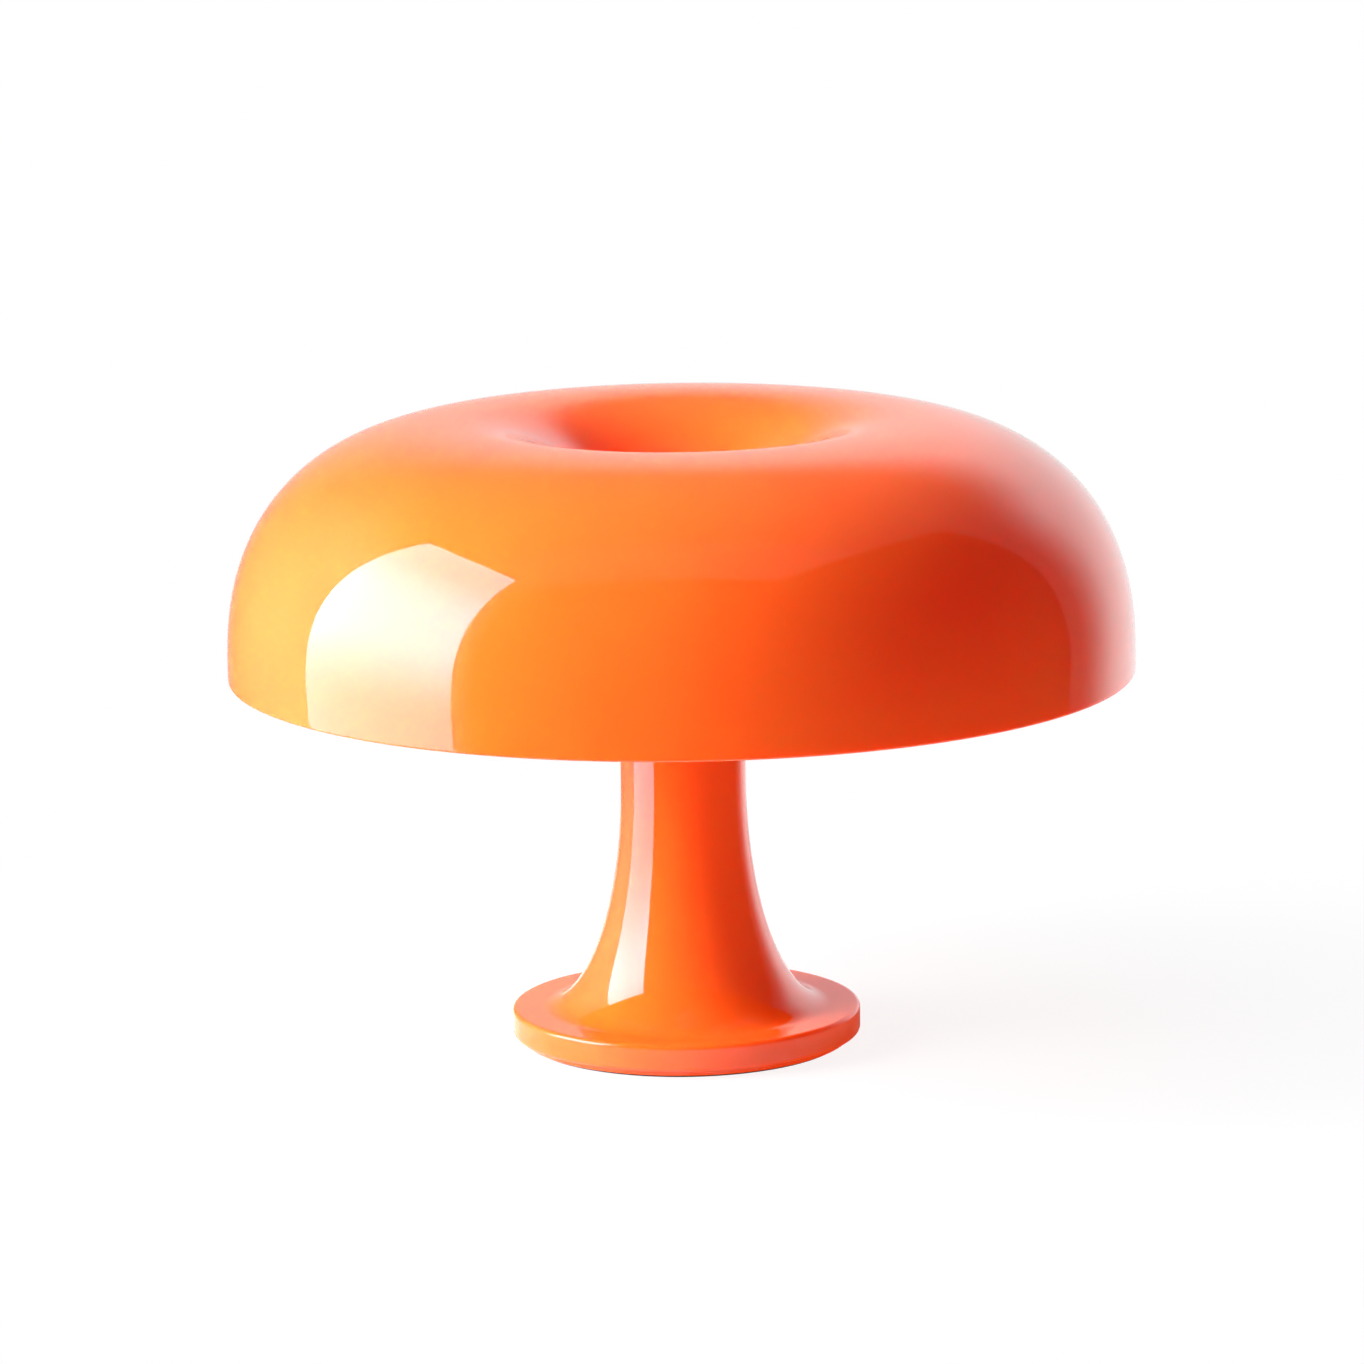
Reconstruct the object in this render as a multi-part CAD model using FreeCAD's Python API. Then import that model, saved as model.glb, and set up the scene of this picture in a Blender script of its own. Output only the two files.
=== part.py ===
"""Mushroom table lamp: a dished glossy moulded shade on a trumpet-shaped moulded stem.

Millimetres. +Z is up, the origin is the centre of the foot on the table, and +Y is the back,
where the mains lead goes in. The shade lifts straight up off the stem for changing the bulbs.
Inside, a threaded tube clamps the lampholder hub, the stem and the ballast together.
"""

import FreeCAD
import Part
import math
import os

# Overall sizes
LAMP_HEIGHT = 223.0
SHADE_RADIUS = 160.0
RIM_HEIGHT = 134.0            # lower edge of the shade above the table

# Shade moulding
SHADE_WALL = 2.5
SKIRT_HEIGHT = 6.0            # straight band at the rim
CROWN_RADIUS = 76.0           # ring where the shade is highest
DOME_POWER = 2.3              # 2 would be an ellipse, more is squarer
DOME_POINTS = 13
FUNNEL_DEPTH = 42.0           # from the crown down to the funnel's floor
FUNNEL_NECK_RADIUS = 29.0
FLOOR_CORNER = 3.5            # round between the funnel's wall and its floor
SHADE_EDGE_ROUND = 0.8

# Stem and base moulding
STEM_RADIUS = 22.2
FLARE_FOOT_RADIUS = 51.5      # where the trumpet runs out flat on the base
FLARE_HEIGHT = 82.5
BASE_RADIUS = 62.0
BASE_HEIGHT = 12.5            # top of the base disc above the table
BASE_EDGE_HEIGHT = 2.8        # lower edge of the base's rim above the table
BASE_EDGE_ROUND = 1.0
STEM_WALL = 2.8
STEM_TOP_WALL = 3.5

# Base cover, its pad and screws
COVER_THICKNESS = 2.5
COVER_GAP = 0.7               # between the cover's edge and the base's rim
COVER_LIP_WIDTH = 2.5
PAD_PROUD = 0.8
PAD_RECESS = 0.8
PAD_WIDTH = 4.0
PAD_EDGE = 2.0                # from the cover's edge in to the pad
COVER_SCREW_INSET = 2.5       # from the pad's groove in to the sunk screw heads
COVER_SCREW_ANGLES = (30.0, 150.0, 270.0)
COVER_SCREW_RADIUS = 1.5
COVER_SCREW_HEAD_RADIUS = 2.8
COVER_SCREW_HEAD_HEIGHT = 1.4
COVER_SCREW_GRIP = 4.2        # length in the boss
BOSS_RADIUS = 3.5

# Cross recess in the heads of the cover's and the hub's screws
RECESS_WIDTH = 0.8
RECESS_LENGTH = 3.4
RECESS_DEPTH = 0.9

# Ballast casting
BALLAST_THICKNESS = 5.0
BALLAST_FOOT_WIDTH = 10.0     # from the trumpet's foot in to the casting's inner edge
BALLAST_TOP = 27.0
BALLAST_GAP = 0.6             # to the inside of the trumpet
BALLAST_SIDE_GAP = 1.7        # to the inside of the rim

# Mains inlet in the rim at the back
INLET_BORE_RADIUS = 2.7
INLET_WALL = 1.1
INLET_FLANGE = 0.6            # how far each flange stands out past the slot
INLET_FLANGE_THICKNESS = 1.5
INLET_PLAY = 0.2              # between the flanges and the curved rim

# Threaded centre tube, nuts and washers
TUBE_RADIUS = 5.0
TUBE_BORE_RADIUS = 3.6
TUBE_BELOW_NUT = 1.3
TUBE_ABOVE_NUT = 1.8
TUBE_CLEARANCE = 0.3
THREAD_PLAY = 0.05
NUT_SIDES = 6
NUT_ACROSS_FLATS = 14.0
NUT_HEIGHT = 4.0
WASHER_RADIUS = 10.0
WASHER_THICKNESS = 1.2

# Lampholder hub and its cover
HUB_RADIUS = 23.0
HUB_HALF_FLAT = 20.5          # from the axis to the flats that carry the holders
HUB_BORE_RADIUS = 17.5
HUB_HEIGHT = 32.0
HUB_FLOOR = 3.0
HUB_COVER_THICKNESS = 3.0
HUB_SCREW_INSET = 0.4         # from the hub's outside in to the sunk screw heads
HUB_SCREW_RADIUS = 1.5
HUB_SCREW_HEAD_RADIUS = 2.6
HUB_SCREW_HEAD_HEIGHT = 1.6
HUB_SCREW_GRIP = 7.0
SCREW_CLEARANCE = 0.2
SEAT_RING_RADIUS = 17.0
SEAT_RING_WIDTH = 5.0
SEAT_RING_THICKNESS = 1.5
INSERT_RADIUS = 5.0
INSERT_LENGTH = 7.5
INSERT_BOSS_WALL = 3.0

# Lampholders, set round the hub
HOLDER_COUNT = 4
HOLDER_RISE = 20.0            # holder axis above the hub's underside
HOLDER_LIP = 1.1              # mouth past the bulb's cap
HOLDER_RADIUS = 13.5
HOLDER_NECK_RADIUS = 9.5
HOLDER_NECK_LENGTH = 4.5
HOLDER_BACK_WALL = 7.5
HOLDER_MOUTH_CHAMFER = 1.0
NIPPLE_RADIUS = 4.9
NIPPLE_BORE_RADIUS = 3.4
NIPPLE_INSIDE = 1.8           # stands into the hub's bore
NIPPLE_PLAY = 0.1
NIPPLE_END_WALL = 1.0
SHELL_THICKNESS = 0.45
CONTACT_RADIUS = 3.0
CONTACT_THICKNESS = 2.3
CONTACT_GAP = 0.1             # spring contact to the bulb's tip

# Screw cap of the bulbs
CAP_CREST_RADIUS = 6.95
CAP_ROOT_RADIUS = 6.4
CAP_PITCH = 2.82
CAP_TURNS = 6
CAP_WALL = 0.5
CAP_PLAY = 0.35               # cap thread to the holder's shell
CAP_SKIRT_RADIUS = 8.2
CAP_SKIRT_LENGTH = 2.6
CAP_NOSE_LENGTH = 2.4
TIP_RADIUS = 2.3
TIP_LENGTH = 1.6
TIP_BASE_RADIUS = 4.6

# Glass of the bulbs
GLOBE_RADIUS = 22.5
BULB_LENGTH = 78.0            # from the tip to the top of the globe
GLASS_WALL = 0.9
GLASS_NECK_RADIUS = 5.7
GLASS_NECK_DEPTH = 6.0        # cemented inside the cap
GLASS_SHOULDER_RADIUS = 7.6
GLASS_FLARE_DEG = 35.0        # cone between the shoulder and the globe

# Junction block in the hub
JUNCTION_RADIUS = 10.5
JUNCTION_TOP_GAP = 4.0        # below the bottom of the insert's boss
JUNCTION_WIRE_WELL = 6.0

# Terminal block in the base
TERMINAL_WIDTH = 17.0
TERMINAL_DEPTH = 14.0
TERMINAL_HEIGHT = 11.0
TERMINAL_START = 16.0         # front face, from the lamp's axis
TERMINAL_POLE = 4.2           # half the distance between the two poles
TERMINAL_POLE_RISE = 6.0      # pole axis above the cover
TERMINAL_INSERT_RADIUS = 2.1
TERMINAL_INSERT_BORE = 1.3
TERMINAL_INSERT_END = 1.0     # insert's end inside the block
TERMINAL_SCREW_RADIUS = 1.4
TERMINAL_SCREW_SPREAD = 3.2
TERMINAL_SCREW_SINK = 0.6
TERMINAL_SLOT_WIDTH = 0.6
TERMINAL_SLOT_DEPTH = 0.7
FIXING_SCREW_RADIUS = 1.2

# Wires
WIRE_RADIUS = 1.0
WIRE_HALF_SPACING = 1.4
WIRE_TURN = 6.0               # bend under the tube
WIRE_SWEEP = 9.0              # gentle bend in front of the block
WIRE_JOG = 3.5                # from the block's face to the gentle bend
LEAD_RADIUS = 0.9
LEAD_HALF_SPACING = 1.3
LEAD_PLAY = 0.2

# Knob that holds the shade down
KNOB_RADIUS = 14.0
KNOB_HEIGHT = 12.0
KNOB_FLUTES = 12
KNOB_FLUTE_RADIUS = 2.6
KNOB_FLUTE_OUT = 1.5          # flute centre, out from the knob's edge
KNOB_EDGE_ROUND = 1.6
KNOB_GAP = 0.2
STUD_RADIUS = 3.0
STUD_IN_KNOB = 8.0
STUD_IN_INSERT = 6.0
STUD_FIT = 0.05
STUD_HOLE_PLAY = 0.5
CLIP_RADIUS = 5.5
CLIP_GROOVE = 0.6
CLIP_THICKNESS = 0.9
CLIP_GAP = 0.25
CLIP_MOUTH = 3.6

# Heights that follow from the sizes above
CROWN_HEIGHT = LAMP_HEIGHT
FLOOR_TOP = CROWN_HEIGHT - FUNNEL_DEPTH
FLOOR_UNDERSIDE = FLOOR_TOP - SHADE_WALL
FUNNEL_NECK_HEIGHT = FLOOR_TOP + FLOOR_CORNER
HUB_TOP = FLOOR_UNDERSIDE - SEAT_RING_THICKNESS
HUB_COVER_UNDERSIDE = HUB_TOP - HUB_COVER_THICKNESS
HUB_UNDERSIDE = HUB_COVER_UNDERSIDE - HUB_HEIGHT
STEM_TOP = HUB_UNDERSIDE
HOLDER_HEIGHT = HUB_UNDERSIDE + HOLDER_RISE
INSERT_END = HUB_TOP - INSERT_LENGTH
FLARE_TOP = BASE_HEIGHT + FLARE_HEIGHT
BASE_CEILING = BASE_HEIGHT - STEM_WALL
COVER_UNDERSIDE = PAD_PROUD
COVER_TOP = COVER_UNDERSIDE + COVER_THICKNESS
BALLAST_FOOT = BASE_CEILING - BALLAST_THICKNESS
UPPER_NUT_UNDERSIDE = HUB_UNDERSIDE + HUB_FLOOR + WASHER_THICKNESS
UPPER_NUT_TOP = UPPER_NUT_UNDERSIDE + NUT_HEIGHT
TUBE_TOP = UPPER_NUT_TOP + TUBE_ABOVE_NUT
LOWER_WASHER_UNDERSIDE = BALLAST_TOP - BALLAST_THICKNESS - WASHER_THICKNESS
LOWER_NUT_UNDERSIDE = LOWER_WASHER_UNDERSIDE - NUT_HEIGHT
TUBE_BOTTOM = LOWER_NUT_UNDERSIDE - TUBE_BELOW_NUT
JUNCTION_TOP = INSERT_END - JUNCTION_TOP_GAP
TERMINAL_POLE_HEIGHT = COVER_TOP + TERMINAL_POLE_RISE

# Radii that follow
RIM_INSIDE_RADIUS = BASE_RADIUS - STEM_WALL
COVER_RADIUS = RIM_INSIDE_RADIUS - COVER_GAP
BALLAST_RADIUS = RIM_INSIDE_RADIUS - BALLAST_SIDE_GAP
INLET_RADIUS = INLET_BORE_RADIUS + INLET_WALL
INLET_HEIGHT = BASE_EDGE_HEIGHT + INLET_RADIUS
PAD_OUTER_RADIUS = COVER_RADIUS - PAD_EDGE
PAD_INNER_RADIUS = PAD_OUTER_RADIUS - PAD_WIDTH
COVER_SINK_RADIUS = COVER_SCREW_HEAD_RADIUS + SCREW_CLEARANCE
COVER_SCREW_CIRCLE = PAD_INNER_RADIUS - COVER_SCREW_INSET - COVER_SINK_RADIUS
HUB_SINK_RADIUS = HUB_SCREW_HEAD_RADIUS + SCREW_CLEARANCE
HUB_SCREW_CIRCLE = HUB_RADIUS - HUB_SCREW_INSET - HUB_SINK_RADIUS

# Distances out from the lamp's axis along a lampholder
HOLDER_START = HUB_HALF_FLAT
SOCKET_FLOOR = HOLDER_START + HOLDER_BACK_WALL
CONTACT_END = SOCKET_FLOOR + CONTACT_THICKNESS
TIP_END = CONTACT_END + CONTACT_GAP
CAP_NOSE = TIP_END + TIP_LENGTH
THREAD_START = CAP_NOSE + CAP_NOSE_LENGTH
THREAD_END = THREAD_START + CAP_TURNS * CAP_PITCH
SKIRT_START = THREAD_END + CAP_PLAY
CAP_MOUTH = SKIRT_START + CAP_SKIRT_LENGTH
HOLDER_MOUTH = CAP_MOUTH + HOLDER_LIP
GLOBE_TOP = TIP_END + BULB_LENGTH
GLOBE_CENTRE = GLOBE_TOP - GLOBE_RADIUS
SHELL_BORE_PLAY = CAP_PLAY + SHELL_THICKNESS
SOCKET_RADIUS = CAP_CREST_RADIUS + SHELL_BORE_PLAY + THREAD_PLAY

UP = FreeCAD.Vector(0, 0, 1)
ORIGIN = FreeCAD.Vector(0, 0, 0)
FULL_TURN = 360.0
QUARTER = math.pi / 2


def flat(point):
    """A (radius, height) pair as a point of the half plane that is turned about Z."""
    return FreeCAD.Vector(point[0], 0, point[1])


def line(start, end):
    """Straight edge between two (radius, height) points."""
    return Part.LineSegment(flat(start), flat(end)).toShape()


def lines(*points):
    """Straight edges through (radius, height) points, in order."""
    return [line(a, b) for a, b in zip(points, points[1:])]


def corner_arc(centre, radius, start_deg, end_deg):
    """Circular edge about a (radius, height) centre, between two angles from the radius axis."""
    turn = [math.radians(a) for a in (start_deg, (start_deg + end_deg) / 2, end_deg)]
    points = [(centre[0] + radius * math.cos(a), centre[1] + radius * math.sin(a)) for a in turn]
    return Part.Arc(*[flat(p) for p in points]).toShape()


def ellipse_arc(centre, first, second, share=1.0):
    """Part of a quarter ellipse, from its first axis tip towards its second one."""
    first_half = math.dist(centre, first)
    second_half = math.dist(centre, second)
    if first_half >= second_half:
        ellipse = Part.Ellipse(flat(first), flat(second), flat(centre))
        return Part.ArcOfEllipse(ellipse, 0, QUARTER * share).toShape()
    ellipse = Part.Ellipse(flat(second), flat(first), flat(centre))
    return Part.ArcOfEllipse(ellipse, QUARTER * (1 - share), QUARTER).toShape()


def dome_curve(inset):
    """Quarter superellipse of the dome, from the skirt up to the crown, moved in by inset."""
    half_width = SHADE_RADIUS - CROWN_RADIUS - inset
    half_height = CROWN_HEIGHT - RIM_HEIGHT - SKIRT_HEIGHT - inset
    points = []
    for i in range(DOME_POINTS):
        turn = QUARTER * i / (DOME_POINTS - 1)
        out = max(math.cos(turn), 0.0) ** (2 / DOME_POWER)
        rise = math.sin(turn) ** (2 / DOME_POWER)
        height = RIM_HEIGHT + SKIRT_HEIGHT + half_height * rise
        points.append(flat((CROWN_RADIUS + half_width * out, height)))
    curve = Part.BSplineCurve()
    inwards = FreeCAD.Vector(-1, 0, 0)
    curve.interpolate(Points=points, InitialTangent=UP, FinalTangent=inwards)
    return curve.toShape()


def funnel_curve(inset):
    """Quarter ellipse of the funnel, from the crown down to its neck, moved in by inset."""
    centre = (CROWN_RADIUS, FUNNEL_NECK_HEIGHT)
    crown = (CROWN_RADIUS, CROWN_HEIGHT - inset)
    neck = (FUNNEL_NECK_RADIUS + inset, FUNNEL_NECK_HEIGHT)
    return ellipse_arc(centre, crown, neck)


def flare_curve(inset, share=1.0):
    """Quarter ellipse of the trumpet, from the base up to the stem, moved in by inset."""
    centre = (FLARE_FOOT_RADIUS, FLARE_TOP)
    foot = (FLARE_FOOT_RADIUS, BASE_HEIGHT - inset)
    waist = (STEM_RADIUS - inset, FLARE_TOP)
    return ellipse_arc(centre, foot, waist, share)


def flare_height(radius, inset):
    """Height of the base disc or the trumpet above it at a radius, moved in by inset."""
    inwards = max(FLARE_FOOT_RADIUS - radius, 0.0) / (FLARE_FOOT_RADIUS - STEM_RADIUS + inset)
    return FLARE_TOP - (FLARE_HEIGHT + inset) * math.sqrt(1 - inwards ** 2)


def ends(edge):
    """Both ends of an edge as (radius, height) pairs, the first as it was drawn."""
    first = edge.valueAt(edge.FirstParameter)
    last = edge.valueAt(edge.LastParameter)
    return (first.x, first.z), (last.x, last.z)


def turned(edges):
    """Solid of revolution about Z of a closed outline in the radius and height plane."""
    wire = Part.Wire(Part.__sortEdges__(edges))
    return Part.Face(wire).revolve(ORIGIN, UP, FULL_TURN)


def outline(*points):
    """Solid of revolution of a closed outline of straight edges."""
    return turned(lines(*points, points[0]))


def ring(inner, outer, bottom, top):
    """Plain ring about Z."""
    return outline((inner, bottom), (outer, bottom), (outer, top), (inner, top))


def rod(radius, bottom, top, x=0.0, y=0.0):
    """Upright cylinder between two heights."""
    return Part.makeCylinder(radius, top - bottom, FreeCAD.Vector(x, y, bottom), UP)


def block(low, high):
    """Box between two corners."""
    size = [b - a for a, b in zip(low, high)]
    return Part.makeBox(*size, FreeCAD.Vector(*low))


def around(shape, angle):
    """Copy of a shape turned about the lamp's axis."""
    copy = shape.copy()
    copy.rotate(ORIGIN, UP, angle)
    return copy


def polar(radius, angle):
    """X and Y of a point on a circle about the lamp's axis."""
    return radius * math.cos(math.radians(angle)), radius * math.sin(math.radians(angle))


def radial(shape, angle):
    """Lays a piece made along Z out from the lamp's axis at the holders' height."""
    copy = shape.copy()
    copy.rotate(ORIGIN, FreeCAD.Vector(0, 1, 0), 90)
    copy.translate(FreeCAD.Vector(0, 0, HOLDER_HEIGHT))
    return around(copy, angle)


def fused(shapes):
    """One shape from several, with leftover seams removed."""
    result = shapes[0]
    for shape in shapes[1:]:
        result = result.fuse(shape)
    return result.removeSplitter()


def rounded_path(points, radii):
    """Wire through 3-D points, straight runs joined by tangent arcs of the given radii."""
    spots = [FreeCAD.Vector(*p) for p in points]
    edges = []
    start = spots[0]
    for before, corner, after, radius in zip(spots, spots[1:], spots[2:], radii):
        towards = (corner - before).normalize()
        away = (after - corner).normalize()
        half_turn = towards.getAngle(away) / 2
        cut = radius * math.tan(half_turn)
        first = corner - towards * cut
        last = corner + away * cut
        middle_gap = radius / math.cos(half_turn) - radius
        middle = corner + (away - towards).normalize() * middle_gap
        edges.append(Part.LineSegment(start, first).toShape())
        edges.append(Part.Arc(first, middle, last).toShape())
        start = last
    edges.append(Part.LineSegment(start, spots[-1]).toShape())
    return Part.Wire(edges)


def tube_along(path, radius):
    """Round solid along a wire, checked against its section times its length."""
    start = path.Edges[0].valueAt(path.Edges[0].FirstParameter)
    direction = path.Edges[0].tangentAt(path.Edges[0].FirstParameter)
    section = Part.Wire(Part.Circle(start, direction, radius).toShape())
    solid = path.makePipeShell([section], True, True)
    expected = math.pi * radius**2 * path.Length
    print(f"wire {path.Length:.1f} mm long, volume {solid.Volume / expected:.4f} of section times length")
    return solid


# Shade assembly

def crown_line():
    """Line across the wall at the crown, where the shade's dome and funnel meet."""
    return line((CROWN_RADIUS, CROWN_HEIGHT), (CROWN_RADIUS, CROWN_HEIGHT - SHADE_WALL))


def make_shade_dome():
    """Mushroom dome of the shade, from its rim up to the crown."""
    inside = SHADE_RADIUS - SHADE_WALL
    skirt_top = RIM_HEIGHT + SKIRT_HEIGHT
    edge = RIM_HEIGHT + SHADE_EDGE_ROUND
    outer_round = (SHADE_RADIUS - SHADE_EDGE_ROUND, edge)
    inner_round = (inside + SHADE_EDGE_ROUND, edge)
    edges = [
        line((SHADE_RADIUS, edge), (SHADE_RADIUS, skirt_top)),
        dome_curve(0),
        crown_line(),
        dome_curve(SHADE_WALL),
        line((inside, skirt_top), (inside, edge)),
        corner_arc(inner_round, SHADE_EDGE_ROUND, 180, 270),
        line((inner_round[0], RIM_HEIGHT), (outer_round[0], RIM_HEIGHT)),
        corner_arc(outer_round, SHADE_EDGE_ROUND, 270, 360),
    ]
    return turned(edges)


def make_shade_funnel():
    """Funnel of the shade, from the crown down to a floor that carries the knob."""
    hole = STUD_RADIUS + STUD_HOLE_PLAY
    floor_edge = FUNNEL_NECK_RADIUS - FLOOR_CORNER
    corner = (floor_edge, FUNNEL_NECK_HEIGHT)
    edges = [
        funnel_curve(0),
        corner_arc(corner, FLOOR_CORNER, 0, -90),
        *lines((floor_edge, FLOOR_TOP), (hole, FLOOR_TOP), (hole, FLOOR_UNDERSIDE),
               (floor_edge, FLOOR_UNDERSIDE)),
        corner_arc(corner, FLOOR_CORNER + SHADE_WALL, -90, 0),
        funnel_curve(SHADE_WALL),
        crown_line(),
    ]
    return turned(edges)


def make_knob():
    """Fluted thumb knob at the bottom of the funnel, bored for its stud."""
    bottom = FLOOR_TOP + KNOB_GAP
    top = bottom + KNOB_HEIGHT
    shoulder = KNOB_RADIUS - KNOB_EDGE_ROUND
    edges = [
        *lines((0, bottom), (KNOB_RADIUS, bottom), (KNOB_RADIUS, top - KNOB_EDGE_ROUND)),
        corner_arc((shoulder, top - KNOB_EDGE_ROUND), KNOB_EDGE_ROUND, 0, 90),
        *lines((shoulder, top), (0, top), (0, bottom)),
    ]
    knob = turned(edges)
    for i in range(KNOB_FLUTES):
        x, y = polar(KNOB_RADIUS + KNOB_FLUTE_OUT, FULL_TURN * i / KNOB_FLUTES)
        knob = knob.cut(rod(KNOB_FLUTE_RADIUS, bottom, top, x, y))
    return knob.cut(rod(STUD_RADIUS, bottom, bottom + STUD_IN_KNOB))


def clip_heights():
    """Bottom and top of the clip under the shade's floor."""
    top = FLOOR_UNDERSIDE - CLIP_GAP
    return top - CLIP_THICKNESS, top


def make_knob_stud():
    """Threaded stud of the knob, grooved for its clip."""
    low, high = clip_heights()
    stud = rod(STUD_RADIUS, HUB_TOP - STUD_IN_INSERT, FLOOR_TOP + KNOB_GAP + STUD_IN_KNOB)
    return stud.cut(ring(STUD_RADIUS - CLIP_GROOVE, STUD_RADIUS + CLIP_GROOVE, low, high))


def make_knob_clip():
    """Spring clip in the stud's groove, which keeps the knob on the shade."""
    low, high = clip_heights()
    clip = ring(STUD_RADIUS - CLIP_GROOVE, CLIP_RADIUS, low, high)
    half = CLIP_MOUTH / 2
    return clip.cut(block((0, -half, low), (CLIP_RADIUS + CLIP_GROOVE, half, high)))


# Stem and base

def inlet_rod(radius, near, far):
    """Level rod along the mains inlet, between two distances behind the lamp's axis."""
    start = FreeCAD.Vector(0, near, INLET_HEIGHT)
    return Part.makeCylinder(radius, far - near, start, FreeCAD.Vector(0, 1, 0))


def inlet_pocket():
    """Room inside the rim for the inner flange of the mains inlet bush."""
    near = RIM_INSIDE_RADIUS - INLET_FLANGE_THICKNESS - 2 * INLET_PLAY
    return inlet_rod(INLET_RADIUS + INLET_FLANGE + INLET_PLAY, near, RIM_INSIDE_RADIUS)


def inlet_slot():
    """Slot through the rim at the back, open below, for the mains inlet bush."""
    far = BASE_RADIUS + INLET_FLANGE_THICKNESS
    arch = inlet_rod(INLET_RADIUS, RIM_INSIDE_RADIUS - STEM_WALL, far)
    legs = block((-INLET_RADIUS, RIM_INSIDE_RADIUS - STEM_WALL, 0), (INLET_RADIUS, far, INLET_HEIGHT))
    return arch.fuse(legs)


def cover_screw_spots():
    """X and Y of each base cover screw."""
    return [polar(COVER_SCREW_CIRCLE, angle) for angle in COVER_SCREW_ANGLES]


def make_stem_moulding():
    """Hollow trumpet stem with the base disc, top wall, screw bosses and inlet slot."""
    low_edge = BASE_EDGE_HEIGHT + BASE_EDGE_ROUND
    high_edge = BASE_HEIGHT - BASE_EDGE_ROUND
    edge_centre = BASE_RADIUS - BASE_EDGE_ROUND
    hole = TUBE_RADIUS + TUBE_CLEARANCE
    bore = STEM_RADIUS - STEM_WALL
    under_top = STEM_TOP - STEM_TOP_WALL
    edges = [
        *lines((RIM_INSIDE_RADIUS, BASE_CEILING), (RIM_INSIDE_RADIUS, BASE_EDGE_HEIGHT),
               (edge_centre, BASE_EDGE_HEIGHT)),
        corner_arc((edge_centre, low_edge), BASE_EDGE_ROUND, 270, 360),
        line((BASE_RADIUS, low_edge), (BASE_RADIUS, high_edge)),
        corner_arc((edge_centre, high_edge), BASE_EDGE_ROUND, 0, 90),
        line((edge_centre, BASE_HEIGHT), (FLARE_FOOT_RADIUS, BASE_HEIGHT)),
        flare_curve(0),
        *lines((STEM_RADIUS, FLARE_TOP), (STEM_RADIUS, STEM_TOP), (hole, STEM_TOP),
               (hole, under_top), (bore, under_top), (bore, FLARE_TOP)),
        flare_curve(STEM_WALL),
        line((FLARE_FOOT_RADIUS, BASE_CEILING), (RIM_INSIDE_RADIUS, BASE_CEILING)),
    ]
    shell = turned(edges)
    boss_top = flare_height(COVER_SCREW_CIRCLE + BOSS_RADIUS, STEM_WALL / 2)
    bosses = [rod(BOSS_RADIUS, COVER_TOP, boss_top, x, y) for x, y in cover_screw_spots()]
    shell = fused([shell, *bosses])
    for x, y in cover_screw_spots():
        shell = shell.cut(rod(COVER_SCREW_RADIUS, COVER_TOP, COVER_TOP + COVER_SCREW_GRIP, x, y))
    return shell.cut(inlet_slot()).cut(inlet_pocket())


def trumpet_core():
    """Upright core as wide as the trumpet's foot, which parts the moulding into stem and base disc."""
    return rod(FLARE_FOOT_RADIUS, 0, STEM_TOP)


def make_stem():
    """Column and trumpet of the stem moulding, out to the trumpet's foot."""
    return make_stem_moulding().common(trumpet_core())


def make_base_disc():
    """Flat disc and rim of the stem moulding, round the trumpet's foot."""
    return make_stem_moulding().cut(trumpet_core())


def make_base_cover():
    """Disc that closes the base from below, with a lip, a pad groove and screw holes."""
    lip_radius = COVER_RADIUS - COVER_LIP_WIDTH
    cover = outline((0, COVER_UNDERSIDE), (COVER_RADIUS, COVER_UNDERSIDE), (COVER_RADIUS, BALLAST_FOOT),
                    (lip_radius, BALLAST_FOOT), (lip_radius, COVER_TOP), (0, COVER_TOP))
    groove_top = COVER_UNDERSIDE + PAD_RECESS
    cover = cover.cut(ring(PAD_INNER_RADIUS, PAD_OUTER_RADIUS, COVER_UNDERSIDE, groove_top))
    hole = COVER_SCREW_RADIUS + SCREW_CLEARANCE
    seat = COVER_UNDERSIDE + COVER_SCREW_HEAD_HEIGHT
    for x, y in cover_screw_spots():
        cover = cover.cut(rod(hole, COVER_UNDERSIDE, COVER_TOP, x, y))
        cover = cover.cut(rod(COVER_SINK_RADIUS, COVER_UNDERSIDE, seat, x, y))
    cover = cover.cut(rod(FIXING_SCREW_RADIUS, COVER_UNDERSIDE + COVER_THICKNESS / 2, COVER_TOP,
                          0, terminal_centre()))
    return cover.cut(inlet_pocket())


def cross_recess(x, y, bottom):
    """Cross-shaped recess for a screwdriver, from the given height up."""
    half = RECESS_WIDTH / 2
    reach = RECESS_LENGTH / 2
    top = bottom + RECESS_DEPTH
    along = block((x - reach, y - half, bottom), (x + reach, y + half, top))
    across = block((x - half, y - reach, bottom), (x + half, y + reach, top))
    return fused([along, across])


def make_cover_screws():
    """Screws that hold the base cover up to the stem's bosses."""
    screws = []
    seat = COVER_UNDERSIDE + COVER_SCREW_HEAD_HEIGHT
    for x, y in cover_screw_spots():
        head = rod(COVER_SCREW_HEAD_RADIUS, COVER_UNDERSIDE, seat, x, y)
        head = head.cut(cross_recess(x, y, COVER_UNDERSIDE))
        shank = rod(COVER_SCREW_RADIUS, seat, COVER_TOP + COVER_SCREW_GRIP, x, y)
        screws.append(fused([head, shank]))
    return Part.makeCompound(screws)


def make_foot_pad():
    """Rubber ring set in the cover's groove, on which the lamp stands."""
    return ring(PAD_INNER_RADIUS, PAD_OUTER_RADIUS, 0, COVER_UNDERSIDE + PAD_RECESS)


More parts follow.
